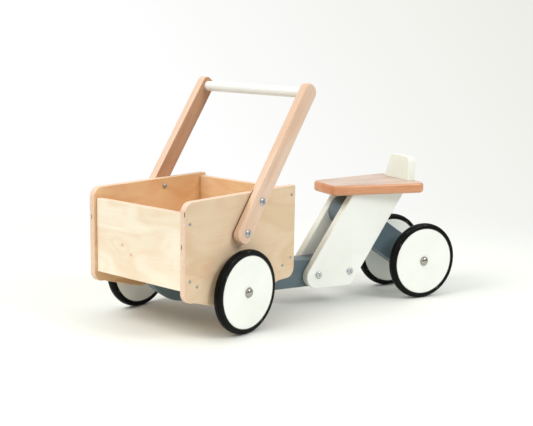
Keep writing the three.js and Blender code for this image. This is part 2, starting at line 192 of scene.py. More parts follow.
@dataclass(frozen=True)
class Finish:
    """What a surface is made of and how it was made."""

    label: str

    def material(self) -> bpy.types.Material:
        """Makes this finish's material the first time and returns it."""
        known = bpy.data.materials.get(self.label)
        if known:
            return known
        material = bpy.data.materials.new(self.label)
        material.use_nodes = True
        tree = material.node_tree
        tree.nodes.clear()
        shader = self.shade(tree)
        add_node(tree, "ShaderNodeOutputMaterial", {"Surface": shader.outputs[0]})
        return material

    def shade(self, tree: bpy.types.NodeTree) -> bpy.types.Node:
        """Builds the finish's nodes.

        Args:
            tree: the material's empty tree.

        Returns:
            The node whose first output is the surface.
        """
        raise NotImplementedError

    def grain(
        self,
        tree: bpy.types.NodeTree,
        along: float,
        across: float,
        detail: float = 2.0,
        seed: float = 0.0,
        warp: float = 0.0,
    ) -> bpy.types.NodeSocket:
        """Noise stretched along local x, the way a board's grain runs.

        Args:
            tree: the material's tree.
            along: size of a feature along the grain, in millimetres.
            across: its size across the grain, in millimetres.
            detail: how many finer layers it has.
            seed: where in the endless noise this board was cut.
            warp: how much the noise bends itself.

        Returns:
            The noise, from 0 to 1.
        """
        place = add_node(tree, "ShaderNodeTexCoord").outputs["Object"]
        scale = (1 / (along * MM), 1 / (across * MM), 1 / (across * MM))
        start = tuple(seed * step for step in SEED_STEP)
        sockets = {"Vector": place, "Scale": scale, "Location": start}
        stretched = add_node(tree, "ShaderNodeMapping", sockets).outputs[0]
        sockets = {"Vector": stretched, "Scale": 1.0, "Detail": detail, "Roughness": 0.55, "Distortion": warp}
        return add_node(tree, "ShaderNodeTexNoise", sockets).outputs[0]

    def stain(
        self,
        tree: bpy.types.NodeTree,
        ground: Any,
        mask: bpy.types.NodeSocket,
        span: Point,
        share: float,
        colour: str,
        how: str = "MIX",
    ) -> bpy.types.NodeSocket:
        """Lays a colour over a ground where a mask is high.

        Args:
            tree: the material's tree.
            ground: the colour below, or the socket that gives it.
            mask: what steers it.
            span: the mask's values where none and where the most of it shows.
            share: how much of it shows at most.
            colour: its hex digits.
            how: Blender's name of the way the two mix.

        Returns:
            The stained colour.
        """
        reach = {"Value": mask, "From Min": span[0], "From Max": span[1], "To Max": share}
        strength = add_node(tree, "ShaderNodeMapRange", reach, interpolation_type="SMOOTHSTEP").outputs[0]
        sockets = {0: strength, 6: ground, 7: linear(colour)}
        return add_node(tree, "ShaderNodeMix", sockets, data_type="RGBA", blend_type=how).outputs[2]

    def surface(
        self,
        tree: bpy.types.NodeTree,
        ground: bpy.types.NodeSocket,
        mask: bpy.types.NodeSocket,
        rough: Point,
        relief: bpy.types.NodeSocket,
        depth: float,
        constants: dict[str, float],
        span: Point = (0.3, 0.7),
    ) -> bpy.types.Node:
        """The lit surface: a colour, a roughness that follows a mask, and a fine relief.

        Args:
            tree: the material's tree.
            ground: the surface's colour.
            mask: what steers its roughness.
            rough: the roughness where the mask is low and where it is high.
            relief: its height, from 0 to 1.
            depth: how much that height is, in millimetres.
            constants: what is the same all over, by the shader's own names.
            span: the mask's values that count as low and high.

        Returns:
            The surface's shader.
        """
        gloss = {"Value": mask, "From Min": span[0], "From Max": span[1], "To Min": rough[0], "To Max": rough[1]}
        roughness = add_node(tree, "ShaderNodeMapRange", gloss, interpolation_type="SMOOTHSTEP").outputs[0]
        bump = add_node(tree, "ShaderNodeBump", {"Height": relief, "Distance": depth * MM, "Strength": 1.0})
        sockets = {"Base Color": ground, "Roughness": roughness, "Normal": bump.outputs[0], **constants}
        return add_node(tree, "ShaderNodeBsdfPrincipled", sockets)

    def spot(self, tree: bpy.types.NodeTree, centre: Sequence[float], radii: Sequence[float]) -> bpy.types.NodeSocket:
        """A soft spot in the board's own place.

        Args:
            tree: the material's tree.
            centre: its middle, in millimetres.
            radii: its reach along the three local axes, in millimetres.

        Returns:
            1 in the middle, falling to 0 at its reach.
        """
        place = add_node(tree, "ShaderNodeTexCoord").outputs["Object"]
        middle, scale = tuple(c * MM for c in centre), tuple(1 / (r * MM) for r in radii)
        offset = add_node(tree, "ShaderNodeVectorMath", {0: place, 1: middle}, operation="SUBTRACT").outputs[0]
        shares = add_node(tree, "ShaderNodeVectorMath", {0: offset, 1: scale}, operation="MULTIPLY").outputs[0]
        away = add_node(tree, "ShaderNodeVectorMath", {0: shares}, operation="LENGTH").outputs["Value"]
        sockets = {"Value": away, "To Min": 1.0, "To Max": 0.0}
        return add_node(tree, "ShaderNodeMapRange", sockets, interpolation_type="SMOOTHSTEP").outputs[0]


@dataclass(frozen=True)
class BirchVeneer(Finish):
    """Rotary-cut birch, sanded and lacquered matt.

    The knife peels the log, so the rings show as broad wandering loops and not as lines. Fibres 0.2 mm wide are
    drawn about 1.2 mm wide, because finer ones would not show.
    """

    pale: str = "ecd6ba"
    tan: str = "e2c8a6"
    blush: str = "e0b696"
    seed: float = 1.0
    knots: tuple[Point, ...] = ()
    loops: float = 0.22  # how strongly the rings' loops show
    blush_share: float = 0.45

    def shade(self, tree: bpy.types.NodeTree) -> bpy.types.Node:
        """Loops, blushes, fibres and pores on a pale ground; see Finish.shade."""
        figure = self.grain(tree, 210, 80, 1.0, self.seed, 0.7)
        ground = self.stain(tree, linear(self.pale), figure, (0.34, 0.66), 1.0, self.tan)
        many = add_node(tree, "ShaderNodeMath", {0: figure, 1: 11.0}, operation="MULTIPLY").outputs[0]
        loops = add_node(tree, "ShaderNodeMath", {0: many, 1: 1.0}, operation="PINGPONG").outputs[0]
        ground = self.stain(tree, ground, loops, (0.75, 0.0), self.loops, self.blush, "MULTIPLY")
        warm = self.grain(tree, 90, 60, 2.0, self.seed + 4.0, 0.4)
        ground = self.stain(tree, ground, warm, (0.5, 0.7), self.blush_share, self.blush)
        fibres = self.grain(tree, 46, 1.2, 2.0, self.seed)
        ground = self.stain(tree, ground, fibres, (0.35, 0.7), 0.07, "b98a5c", "MULTIPLY")
        pores = self.grain(tree, 7.0, 0.8, 0.0, self.seed + 2.0)
        ground = self.stain(tree, ground, pores, (0.74, 0.82), 0.16, "b98260")
        for along, across in self.knots:
            halo = self.spot(tree, (along, across, 6.0), (11.0, 9.0, 30.0))
            ground = self.stain(tree, ground, halo, (0.0, 1.0), 0.45, "e9ad8a")
            heart = self.spot(tree, (along, across, 6.0), (2.4, 2.4, 30.0))
            ground = self.stain(tree, ground, heart, (0.1, 0.7), 0.85, "a56445")
        return self.surface(tree, ground, fibres, (0.46, 0.6), fibres, 0.05, {"IOR": 1.5})


@dataclass(frozen=True)
class PlyEdge(Finish):
    """Sawn and sanded edge of birch plywood.

    Long plies look pale and cross plies show their darker end grain, with a thin glue line between. The eleven
    or so real plies are drawn as seven, or they would run together.
    """

    thick: float = 13.0
    pale: str = "f5e4cf"
    cross: str = "eac7ab"
    glue: str = "c48d6c"
    plies: int = 7
    seed: float = 1.0
    voids: tuple[Corner, ...] = ()

    def shade(self, tree: bpy.types.NodeTree) -> bpy.types.Node:
        """Layers through the thickness, end grain speckle, and a dark spot of painted shade at each open void; see
        Finish.shade.
        """
        place = add_node(tree, "ShaderNodeTexCoord").outputs["Object"]
        height = add_node(tree, "ShaderNodeSeparateXYZ", {0: place}).outputs["Z"]
        count = self.plies / (self.thick * MM)
        layer = add_node(tree, "ShaderNodeMath", {0: height, 1: count}, operation="MULTIPLY").outputs[0]
        pair = add_node(tree, "ShaderNodeMath", {0: layer, 1: 2.0}, operation="WRAP").outputs[0]
        share = add_node(tree, "ShaderNodeMath", {0: pair, 1: 0.5}, operation="MULTIPLY").outputs[0]
        pale, cross, glue = linear(self.pale), linear(self.cross), linear(self.glue)
        stops = [(0.0, glue), (0.06, pale), (0.44, pale), (0.5, glue), (0.56, cross), (0.94, cross), (1.0, glue)]
        layers = add_node(tree, "ShaderNodeValToRGB", {0: share}, stops=stops).outputs[0]
        speckle = self.grain(tree, 3.0, 3.0, 3.0, self.seed)
        ground = self.stain(tree, layers, speckle, (0.4, 0.7), 0.16, "c99972", "MULTIPLY")
        long = self.grain(tree, 60, 8, 1.0, self.seed)
        ground = self.stain(tree, ground, long, (0.4, 0.7), 0.25, "f4e2cc")
        # Painted shade: each open void is a dark spot on the flat edge, for the shade inside a hole.
        for void in self.voids:
            hole = self.spot(tree, void, (8.0, 8.0, 1.6))
            ground = self.stain(tree, ground, hole, (0.05, 0.5), 0.95, "5c3325")
        return self.surface(tree, ground, speckle, (0.55, 0.72), speckle, 0.06, {"IOR": 1.5})


@dataclass(frozen=True)
class Beech(Finish):
    """Planed beech with rounded edges, oiled.

    A pinkish ground with faint straight rings and the short dark dashes that mark beech. The dashes, 0.3 mm by
    2 mm in life, are drawn 0.9 mm wide so that they show.
    """

    pale: str = "e8cfb8"
    rose: str = "e0bda0"
    dash: str = "b98a6a"
    seed: float = 1.0
    gloss: float = 0.46
    seam: Corner | None = None  # painted shade along the crevice where the edge lies against the panel: the heights where it is dark and where it is clear, and how far along it goes
    seam_fade: float = 6.0
    seam_colour: str = "5f3a26"

    def shade(self, tree: bpy.types.NodeTree) -> bpy.types.Node:
        """Rings, clouds and dashes along the grain, and painted shade along the edge that lies against the panel; see
        Finish.shade.
        """
        clouds = self.grain(tree, 170, 26, 2.0, self.seed, 0.3)
        ground = self.stain(tree, linear(self.pale), clouds, (0.32, 0.68), 1.0, self.rose)
        rings = self.grain(tree, 420, 3.2, 2.0, self.seed + 1.0)
        ground = self.stain(tree, ground, rings, (0.42, 0.66), 0.14, "c89470", "MULTIPLY")
        dashes = self.grain(tree, 5.5, 0.9, 0.0, self.seed)
        ground = self.stain(tree, ground, dashes, (0.62, 0.74), 0.22, self.dash)
        # Painted shade: darker near the face that lies on the box's panel, as far along as the panel reaches.
        if self.seam:
            dark, clear, end = (distance * MM for distance in self.seam)
            place = add_node(tree, "ShaderNodeTexCoord").outputs["Object"]
            axes = add_node(tree, "ShaderNodeSeparateXYZ", {0: place})
            falls = []
            for axis, low, high, most in (("Z", dark, clear, 0.9), ("X", end - self.seam_fade * MM, end, 1.0)):
                fall = {"Value": axes.outputs[axis], "From Min": low, "From Max": high, "To Min": most, "To Max": 0.0}
                falls.append(add_node(tree, "ShaderNodeMapRange", fall, interpolation_type="SMOOTHSTEP").outputs[0])
            share = add_node(tree, "ShaderNodeMath", dict(enumerate(falls)), operation="MULTIPLY").outputs[0]
            sockets = {0: share, 6: ground, 7: linear(self.seam_colour)}
            ground = add_node(tree, "ShaderNodeMix", sockets, data_type="RGBA").outputs[2]
        gloss = (self.gloss, self.gloss + 0.14)
        return self.surface(tree, ground, dashes, gloss, dashes, 0.04, {"IOR": 1.5}, (0.4, 0.7))


@dataclass(frozen=True)
class SprayedPaint(Finish):
    """Satin lacquer sprayed on sanded wood.

    An even colour with a slight orange peel, the wood's grain just showing through, and paint that thins a
    little where it was worn on the edges. The peel, 1 mm in life, is drawn 2.2 mm.
    """

    colour: str = "f4f4ef"
    worn: str = "e4e2d8"
    gloss: float = 0.38

    def shade(self, tree: bpy.types.NodeTree) -> bpy.types.Node:
        """Paint with peel, grain and worn edges; see Finish.shade."""
        clouds = self.grain(tree, 90, 60, 3.0)
        ground = self.stain(tree, linear(self.colour), clouds, (0.35, 0.7), 0.35, self.worn)
        proud = add_node(tree, "ShaderNodeNewGeometry").outputs["Pointiness"]
        ground = self.stain(tree, ground, proud, (0.51, 0.56), 0.3, self.worn)
        peel = self.grain(tree, 2.2, 2.2, 1.0)
        grain = self.grain(tree, 40, 1.6, 2.0)
        height = add_node(tree, "ShaderNodeMath", {0: grain, 1: 0.5, 2: peel}, operation="MULTIPLY_ADD").outputs[0]
        gloss = (self.gloss - 0.05, self.gloss + 0.08)
        return self.surface(tree, ground, clouds, gloss, height, 0.03, {"IOR": 1.5})


@dataclass(frozen=True)
class MouldedRubber(Finish):
    """Moulded black rubber tyre, a little dusty: nearly black, a dull sheen that varies, a painted highlight on
    ridges.
    """

    colour: str = "030303"
    dust: str = "090908"
    rubbed: str = "5a5a54"

    def shade(self, tree: bpy.types.NodeTree) -> bpy.types.Node:
        """Dusty black with a fine mould grain, and grey on the ridges as a painted highlight; see Finish.shade."""
        dust = self.grain(tree, 14, 14, 4.0)
        fine = self.grain(tree, 1.1, 1.1, 2.0)
        ground = self.stain(tree, linear(self.colour), dust, (0.45, 0.8), 0.5, self.dust)
        proud = add_node(tree, "ShaderNodeNewGeometry").outputs["Pointiness"]
        # Painted highlight: the sharp ridges are drawn grey where thin highlights would shine.
        ground = self.stain(tree, ground, proud, (0.505, 0.55), 0.7, self.rubbed)
        constants = {"IOR": 1.52, "Specular IOR Level": 0.1}
        return self.surface(tree, ground, dust, (0.3, 0.45), fine, 0.05, constants)


@dataclass(frozen=True)
class ChromePlate(Finish):
    """Pressed steel with bright chrome: a mirror with faint polishing haze."""

    colour: str = "aeaca3"
    haze: str = "85837a"

    def shade(self, tree: bpy.types.NodeTree) -> bpy.types.Node:
        """Mirror metal with a slight haze; see Finish.shade."""
        haze = self.grain(tree, 2.5, 2.5, 3.0)
        ground = self.stain(tree, linear(self.colour), haze, (0.4, 0.75), 0.5, self.haze)
        return self.surface(tree, ground, haze, (0.1, 0.2), haze, 0.01, {"Metallic": 1.0})


@dataclass(frozen=True)
class ZincPlate(Finish):
    """Zinc-plated steel, tumbled and plated in bulk: bluish grey with small dull and bright patches."""

    colour: str = "ccd4d5"
    dull: str = "98a3a6"

    def shade(self, tree: bpy.types.NodeTree) -> bpy.types.Node:
        """Patchy metal; see Finish.shade."""
        patches = self.grain(tree, 2.4, 2.4, 3.0)
        ground = self.stain(tree, linear(self.colour), patches, (0.38, 0.66), 1.0, self.dull)
        return self.surface(tree, ground, patches, (0.28, 0.46), patches, 0.02, {"Metallic": 1.0})


@dataclass(frozen=True)
class MouldedNylon(Finish):
    """Injection-moulded nylon: dark, with the fine spark texture of its mould."""

    colour: str = "2a2c2d"
    sheen: str = "3b3d3e"

    def shade(self, tree: bpy.types.NodeTree) -> bpy.types.Node:
        """Dark plastic with spark texture; see Finish.shade."""
        spark = self.grain(tree, 0.8, 0.8, 2.0)
        ground = self.stain(tree, linear(self.colour), spark, (0.4, 0.7), 0.5, self.sheen)
        return self.surface(tree, ground, spark, (0.42, 0.58), spark, 0.03, {"IOR": 1.53})


@dataclass(frozen=True)
class FloorPaper(Finish):
    """Matt white studio paper that fades out with distance, so that no edge shows."""

    colour: str = "f1f3ed"
    cloud: str = "ecefe7"
    rough: float = 0.85
    tooth: float = 0.05  # depth of its texture, in millimetres
    clear: float = 0.5  # metres from the middle where it starts to fade
    gone: float = 1.35  # metres from the middle where nothing of it is left

    def shade(self, tree: bpy.types.NodeTree) -> bpy.types.Node:
        """Paper with a faint tooth, mixed with nothing far away; see Finish.shade."""
        tooth = self.grain(tree, 3, 3, 3.0)
        broad = self.grain(tree, 700, 700, 2.0)
        ground = self.stain(tree, linear(self.colour), broad, (0.3, 0.7), 0.3, self.cloud)
        bump = add_node(tree, "ShaderNodeBump", {"Height": tooth, "Distance": self.tooth * MM, "Strength": 1.0})
        sockets = {"Base Color": ground, "Roughness": self.rough, "IOR": 1.45, "Normal": bump.outputs[0]}
        paper = add_node(tree, "ShaderNodeBsdfPrincipled", sockets)
        place = add_node(tree, "ShaderNodeTexCoord").outputs["Object"]
        away = add_node(tree, "ShaderNodeVectorMath", {0: place}, operation="LENGTH").outputs["Value"]
        reach = {"Value": away, "From Min": self.clear, "From Max": self.gone}
        fade = add_node(tree, "ShaderNodeMapRange", reach, interpolation_type="SMOOTHSTEP").outputs[0]
        nothing = add_node(tree, "ShaderNodeBsdfTransparent")
        return add_node(tree, "ShaderNodeMixShader", {0: fade, 1: paper.outputs[0], 2: nothing.outputs[0]})


WHITE = SprayedPaint("white_satin_paint", "f6f9f2", "ecede5")
# The plates' edges are the same white paint as their faces, drawn darker: painted shade.
SHADED_EDGE_WHITE = SprayedPaint("white_paint_on_plate_edges", "e9ebe0", "d9d9cc", 0.42)
WARM_WHITE = SprayedPaint("warm_white_satin_paint", "f2f5e8", "e8ebda")
SLATE = SprayedPaint("slate_satin_paint", "586a72", "687980", 0.36)
RUBBER = MouldedRubber("moulded_black_rubber")
CHROME = ChromePlate("polished_chrome_plate")
ZINC = ZincPlate("tumbled_zinc_plate")
BRIGHT_ZINC = ZincPlate("bright_zinc_plate", "e8ecec", "98a1a4")
NYLON = MouldedNylon("moulded_dark_nylon")


# Meshes


def rounded(corners: Sequence[Corner], step: float = 6.0) -> list[Point]:
    """An outline with each corner rounded.

    Args:
        corners: (a, b, radius) of each corner, anticlockwise; a radius of 0 leaves it sharp.
        step: the turn between two points of an arc, in degrees.

    Returns:
        The outline's points, anticlockwise.
    """
    points: list[Point] = []
    for i, (a, b, radius) in enumerate(corners):
        if radius == 0:
            points.append((a, b))
            continue
        here = Vector((a, b))
        before = (Vector(corners[i - 1][:2]) - here).normalized()
        after = (Vector(corners[(i + 1) % len(corners)][:2]) - here).normalized()
        half = before.angle(after) / 2
        centre = here + (before + after).normalized() * (radius / math.sin(half))
        spoke = here + before * (radius / math.tan(half)) - centre
        turn = (math.pi - 2 * half) * math.copysign(1, after.cross(before))
        count = max(2, math.ceil(math.degrees(abs(turn)) / step))
        for k in range(count + 1):
            c, s = math.cos(turn * k / count), math.sin(turn * k / count)
            points.append((centre.x + spoke.x * c - spoke.y * s, centre.y + spoke.x * s + spoke.y * c))
    return points


def arc(centre: Point, radius: float, start: float, end: float, step: float = 5.0) -> list[Point]:
    """Points along an arc.

    Args:
        centre: the arc's centre.
        radius: its radius.
        start: the angle it starts at, in degrees.
        end: the angle it ends at, in degrees.
        step: the turn between two points, in degrees.

    Returns:
        The points, both ends included.
    """
    count = math.ceil(abs(end - start) / step)
    angles = [math.radians(start + (end - start) * k / count) for k in range(count + 1)]
    return [(centre[0] + radius * math.cos(t), centre[1] + radius * math.sin(t)) for t in angles]


def inset(outline: Sequence[Point], distance: float) -> list[Vector]:
    """The outline moved inwards by a distance, with mitred corners."""
    moved = []
    for i, point in enumerate(outline):
        here = Vector(point)
        a = (here - Vector(outline[i - 1])).normalized()
        b = (Vector(outline[(i + 1) % len(outline)]) - here).normalized()
        first, second = Vector((-a.y, a.x)), Vector((-b.y, b.x))
        moved.append(here + (first + second) * (distance / (1 + first.dot(second))))
    return moved


def skin(rings: Sequence[Sequence[Vector]], loop: bool = False) -> bmesh.types.BMesh:
    """Joins rings of as many points each into a closed skin.

    Args:
        rings: the rings from the lowest up, each anticlockwise from above, in millimetres.
        loop: whether the last ring joins the first, as in a tube; if not, both ends are capped.

    Returns:
        The closed mesh, in metres.
    """
    mesh = bmesh.new()
    laid = [[mesh.verts.new(p * MM) for p in ring] for ring in rings]
    for low, high in zip(laid, laid[1:] + (laid[:1] if loop else [])):
        for i in range(len(low)):
            mesh.faces.new((low[i - 1], low[i], high[i], high[i - 1]))
    if not loop:
        mesh.faces.new(reversed(laid[0]))
        mesh.faces.new(laid[-1])
    bmesh.ops.remove_doubles(mesh, verts=mesh.verts, dist=1e-7)
    return mesh


def board(outline: Sequence[Point], thick: float, edge: float, steps: int = 4) -> bmesh.types.BMesh:
    """A board with its faces' edges rounded over.

    Args:
        outline: the board's outline, anticlockwise.
        thick: its thickness, upwards from 0.
        edge: the radius of the rounding.
        steps: facets in the rounding.

    Returns:
        The closed mesh.
    """
    flat = 0.5  # a narrow flat rim keeps the broad faces from catching the rounding's shade
    turns = [math.pi / 2 * k / steps for k in range(steps + 1)]
    low = [(edge + flat, 0.0)] + [(edge * (1 - math.sin(t)), edge * (1 - math.cos(t))) for t in turns]
    levels = low + [(inward, thick - height) for inward, height in reversed(low)]
    return skin([[Vector((p.x, p.y, height)) for p in inset(outline, inward)] for inward, height in levels])


def turned(profile: Sequence[Point], segments: int = 96) -> bmesh.types.BMesh:
    """A turned piece about local z.

    Args:
        profile: (radius, height) points, outwards at the bottom and back at the top. It starts and ends on the
            axis, or is a closed loop beside it.
        segments: facets round the axis.

    Returns:
        The closed mesh.
    """
    mesh = bmesh.new()
    turns = [2 * math.pi * k / segments for k in range(segments)]
    laid = [
        [mesh.verts.new((r * math.cos(t) * MM, r * math.sin(t) * MM, h * MM)) for t in (turns if r else [0.0])]
        for r, h in profile
    ]
    closed = laid[1:] + (laid[:1] if profile[0][0] else [])
    for low, high in zip(laid, closed):
        for i in range(segments):
            corners = [low[i - 1], low[i], high[i], high[i - 1]] if len(low) > 1 and len(high) > 1 else None
            if corners is None:
                corners = [low[0], high[i], high[i - 1]] if len(low) == 1 else [low[i - 1], low[i], high[0]]
            mesh.faces.new(corners)
    return mesh


def block(low: Sequence[float], high: Sequence[float]) -> bmesh.types.BMesh:
    """A plain block between two corners, used only to cut with."""
    (a, b, c), (d, e, f) = low, high
    return skin([[Vector((x, y, z)) for x, y in ((a, b), (d, b), (d, e), (a, e))] for z in (c, f)])


def plug(radius: float, low: float, high: float, sides: int = 32) -> bmesh.types.BMesh:
    """A straight-sided cutter about local z, such as a drill or a key."""
    return turned([(0, low), (radius, low), (radius, high), (0, high)], sides)


def finished(mesh: bmesh.types.BMesh, name: str) -> bpy.types.Mesh:
    """Turns mesh work into a mesh and frees it."""
    made = bpy.data.meshes.new(name)
    mesh.to_mesh(made)
    mesh.free()
    return made


def cut(body: bmesh.types.BMesh, cutters: Sequence[bmesh.types.BMesh], name: str) -> bpy.types.Mesh:
    """Takes cutters out of a body.

    Args:
        body: what is cut.
        cutters: closed meshes that don't touch each other.
        name: the new mesh's name.

    Returns:
        The cut mesh.
    """
    tools = bmesh.new()
    for cutter in cutters:
        part = finished(cutter, "cutter")
        tools.from_mesh(part)
        bpy.data.meshes.remove(part)
    stock = bpy.data.objects.new("stock", finished(body, "stock"))
    tool = bpy.data.objects.new("tool", finished(tools, "tool"))
    for thing in (stock, tool):
        bpy.context.scene.collection.objects.link(thing)
    knife = stock.modifiers.new("cut", "BOOLEAN")
    knife.operation, knife.solver, knife.object = "DIFFERENCE", "EXACT", tool
    graph = bpy.context.evaluated_depsgraph_get()
    made = bpy.data.meshes.new_from_object(stock.evaluated_get(graph))
    made.name = name
    for thing in (stock, tool):
        spare = thing.data
        bpy.data.objects.remove(thing)
        bpy.data.meshes.remove(spare)
    return made


def moved(mesh: bmesh.types.BMesh, place: Matrix) -> bmesh.types.BMesh:
    """The mesh after a move within its piece."""
    bmesh.ops.transform(mesh, matrix=place, verts=mesh.verts)
    return mesh


def shift(x: float, y: float, z: float = 0.0) -> Matrix:
    """A move by so many millimetres."""
    return Matrix.Translation((x * MM, y * MM, z * MM))


def drill(spot: Point, radius: float, thick: float) -> bmesh.types.BMesh:
    """A cutter for a round hole through a board."""
    return moved(plug(radius, -1, thick + 1), shift(*spot))


def sleeve(radii: Point, span: Point, eases: Point, step: float, segments: int, name: str) -> bpy.types.Mesh:
    """A rod, disc or tube about local z, its edges eased.

    Args:
        radii: the inner and the outer radius; an inner radius of 0 makes it solid.
        span: its lowest and highest height.
        eases: how round its inner and its outer edges are.
        step: the turn between two points of an edge, in degrees.
        segments: facets round the axis.
        name: the mesh's name.

    Returns:
        The mesh.
    """
    (inner, outer), (low, high), (soft, ease) = radii, span, eases
    corners = [(inner, low, soft), (outer, low, ease), (outer, high, ease), (inner, high, soft)]
    return finished(turned(rounded(corners, step), segments), name)


def placed(x_axis: Vector, y_axis: Vector, z_axis: Vector, origin: Sequence[float]) -> Matrix:
    """The place of a piece from its three axes and its origin in millimetres."""
    place = Matrix((x_axis, y_axis, z_axis)).transposed().to_4x4()
    place.translation = Vector(origin) * MM
    return place


# Sub-assemblies


@dataclass
class Assembly:
    """Pieces placed from one origin, most of them riding on one body."""

    home: Matrix
    body: str

    def add(
        self, node: str, mesh: bpy.types.Mesh, place: Matrix, finish: Finish, slot: Slot, rim: Finish | None = None
    ) -> None:
        """Dresses a mesh and sets it on its body.

        Args:
            node: the CAD node that it stands for, which its name ends with.
            mesh: its shape, in its own place.
            place: where it stands in the assembly.
            finish: what its broad faces are made of.
            slot: the record's slot that its finish stands for, which its name starts with.
            rim: what its narrow edges show, if that differs.
        """
        name = f"{slot.word}_{node}"
        piece = bpy.data.objects.new(name, mesh)
        bpy.context.scene.collection.objects.link(piece)
        mesh.materials.clear()
        for coat in filter(None, (finish, rim)):
            mesh.materials.append(coat.material())
        coats = [int(rim is not None and abs(p.normal.z) < NARROW) for p in mesh.polygons]
        mesh.polygons.foreach_set("use_smooth", [True] * len(mesh.polygons))
        mesh.polygons.foreach_set("material_index", coats)
        mesh.set_sharp_from_angle(angle=SHARP)
        mesh.update()
        piece.matrix_world = self.home @ place
        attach(piece, self.body)
        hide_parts(node)
        size = piece.dimensions / MM
        LOG.info("%s on %s: %d faces, %.1f x %.1f x %.1f mm", name, self.body, len(mesh.polygons), *size)


def outward(side: Side, origin: Sequence[float]) -> Matrix:
    """The place of a piece whose local z points out from the cart's middle."""
    return placed(Y * side.value, Z, X * side.value, origin)


def upright(x: float) -> Matrix:
    """The place of a board outlined in (y, z), its thickness running from x to the left."""
    return placed(Y, Z, X, (x, 0, 0))


@dataclass
class ConnectorBolt:
    """Furniture bolt and its sleeve nut: broad low heads with a hexagon socket."""

    head: float = 7.4
    height: float = 2.6
    socket: float = 2.3  # half the socket's width across its corners
    socket_floor: float = 0.8
    shank: float = 3.0
    sleeve: float = 4.6

    def mesh(self, length: float, radius: float, name: str) -> bpy.types.Mesh:
        """A bolt or nut from its head's underside at 0.

        Args:
            length: how far its shank or sleeve reaches below the head.
            radius: the shank's or sleeve's radius.
            name: the mesh's name.

        Returns:
            The mesh, its head upwards.
        """
        corners = [
            (0, -length, 0),
            (radius, -length, 0.6),
            (radius, 0, 0),
            (self.head, 0, 0.25),
            (self.head, 1.0, 0.5),
            (self.head - 1.7, self.height - 0.2, 1.2),
            (0, self.height, 0),
        ]
        key = plug(self.socket, self.socket_floor, self.height + 1.4, 6)
        return cut(turned(rounded(corners, 15), 48), [key], name)


@dataclass
class Wheel(Assembly):
    """A painted disc in a rubber tyre. Local z points outwards from its middle."""

    name: str
    side: Side
    outer_x: float = FRONT_OUTER_X
    axle_y: float = 0.0
    radius: float = 80.0
    rim: float = 69.0

    def build(self) -> None:
        """Makes the disc and the tyre."""
        end, which = self.name.split("_")
        half = WHEEL_WIDTH / 2
        middle = outward(self.side, (self.side.value * (self.outer_x - half), self.axle_y, AXLE_Z))
        disc = sleeve((AXLE_HOLE, self.rim), (-half, half), (0.5, 1.3), 15, 144, "disc")
        self.add(f"{end}_wheel_{which}_disc", disc, middle, WHITE, Slot.WHITE)
        self.add(f"{end}_wheel_{which}_tyre", self.tyre(), middle, RUBBER, Slot.TYRE)

    def tyre(self) -> bpy.types.Mesh:
        """The tyre: a flat tread, a fine groove and ridge at each shoulder, and a side that rolls in."""
        half, top = WHEEL_WIDTH / 2, self.radius
        side = [
            (self.rim + 0.15, 0.6, 0),
            (self.rim + 1.6, 0.0, 0.5),
            (top - 4.6, 0.0, 1.2),
            (top - 2.6, 1.1, 0.5),
            (top - 2.3, 2.0, 0.3),
            (top - 1.3, 2.2, 0.4),
            (top - 0.9, 3.9, 0.5),
            (top - 1.9, 4.4, 0.3),
            (top - 1.9, 5.0, 0.3),
            (top - 0.3, 5.4, 0.4),
            (top - 0.05, 6.6, 0.5),
        ]
        lower = [(r, depth - half, ease) for r, depth, ease in side]
        upper = [(r, half - depth, ease) for r, depth, ease in reversed(side)]
        crown = [(top, 0.0, 0)]
        return finished(turned(rounded(lower + crown + upper, 12), 144), "tyre")


@dataclass
class AxleEnd(Assembly):
    """What holds a wheel on its axle: a bright cap outside and a nylon spacer inside."""

    name: str
    side: Side
    outer_x: float = FRONT_OUTER_X
    spacer_from: float = BOX_OUTER + GAP
    axle_y: float = 0.0
    flange: float = 9.8
    height: float = 6.0
    bead: float = 1.4  # height of the step that the dome rises from
    dome_reach: float = 8.2
    roof: float = 3.8  # height of the hollow over the axle's end
    spacer: float = 9.0

    def build(self) -> None:
        """Makes the cap and the spacer."""
        end, which = self.name.split("_")
        place = outward(self.side, (self.side.value * (self.outer_x + GAP), self.axle_y, AXLE_Z))
        self.add(f"{end}_cap_{which}", self.cap(), place, CHROME, Slot.CHROME)
        foot = outward(self.side, (self.side.value * self.spacer_from, self.axle_y, AXLE_Z))
        long = self.outer_x - WHEEL_WIDTH - GAP - self.spacer_from
        ring = sleeve((AXLE_HOLE, self.spacer), (0, long), (0.3, 0.6), 15, 64, "spacer")
        self.add(f"{end}_spacer_{which}", ring, foot, NYLON, Slot.NYLON)

    def cap(self) -> bpy.types.Mesh:
        """A pressed cap: a flange, a small step and a dome, hollow over the axle's end."""
        lip, rise = self.flange - 1.0, self.height - self.bead
        turns = [math.radians(9 * k) for k in range(10)]
        dome = [(lip - self.dome_reach * (1 - math.cos(t)), self.bead + rise * math.sin(t)) for t in turns]
        outline = [(0, self.roof), (AXLE_HOLE, self.roof), (AXLE_HOLE, 0), (self.flange - 0.3, 0), (self.flange, 0.3)]
        outline += [(self.flange, 0.7), (self.flange - 0.3, 1.0), (self.flange - 0.9, 1.1)]
        outline += [*dome, (0, self.height)]
        return finished(turned(outline, 64), "cap")


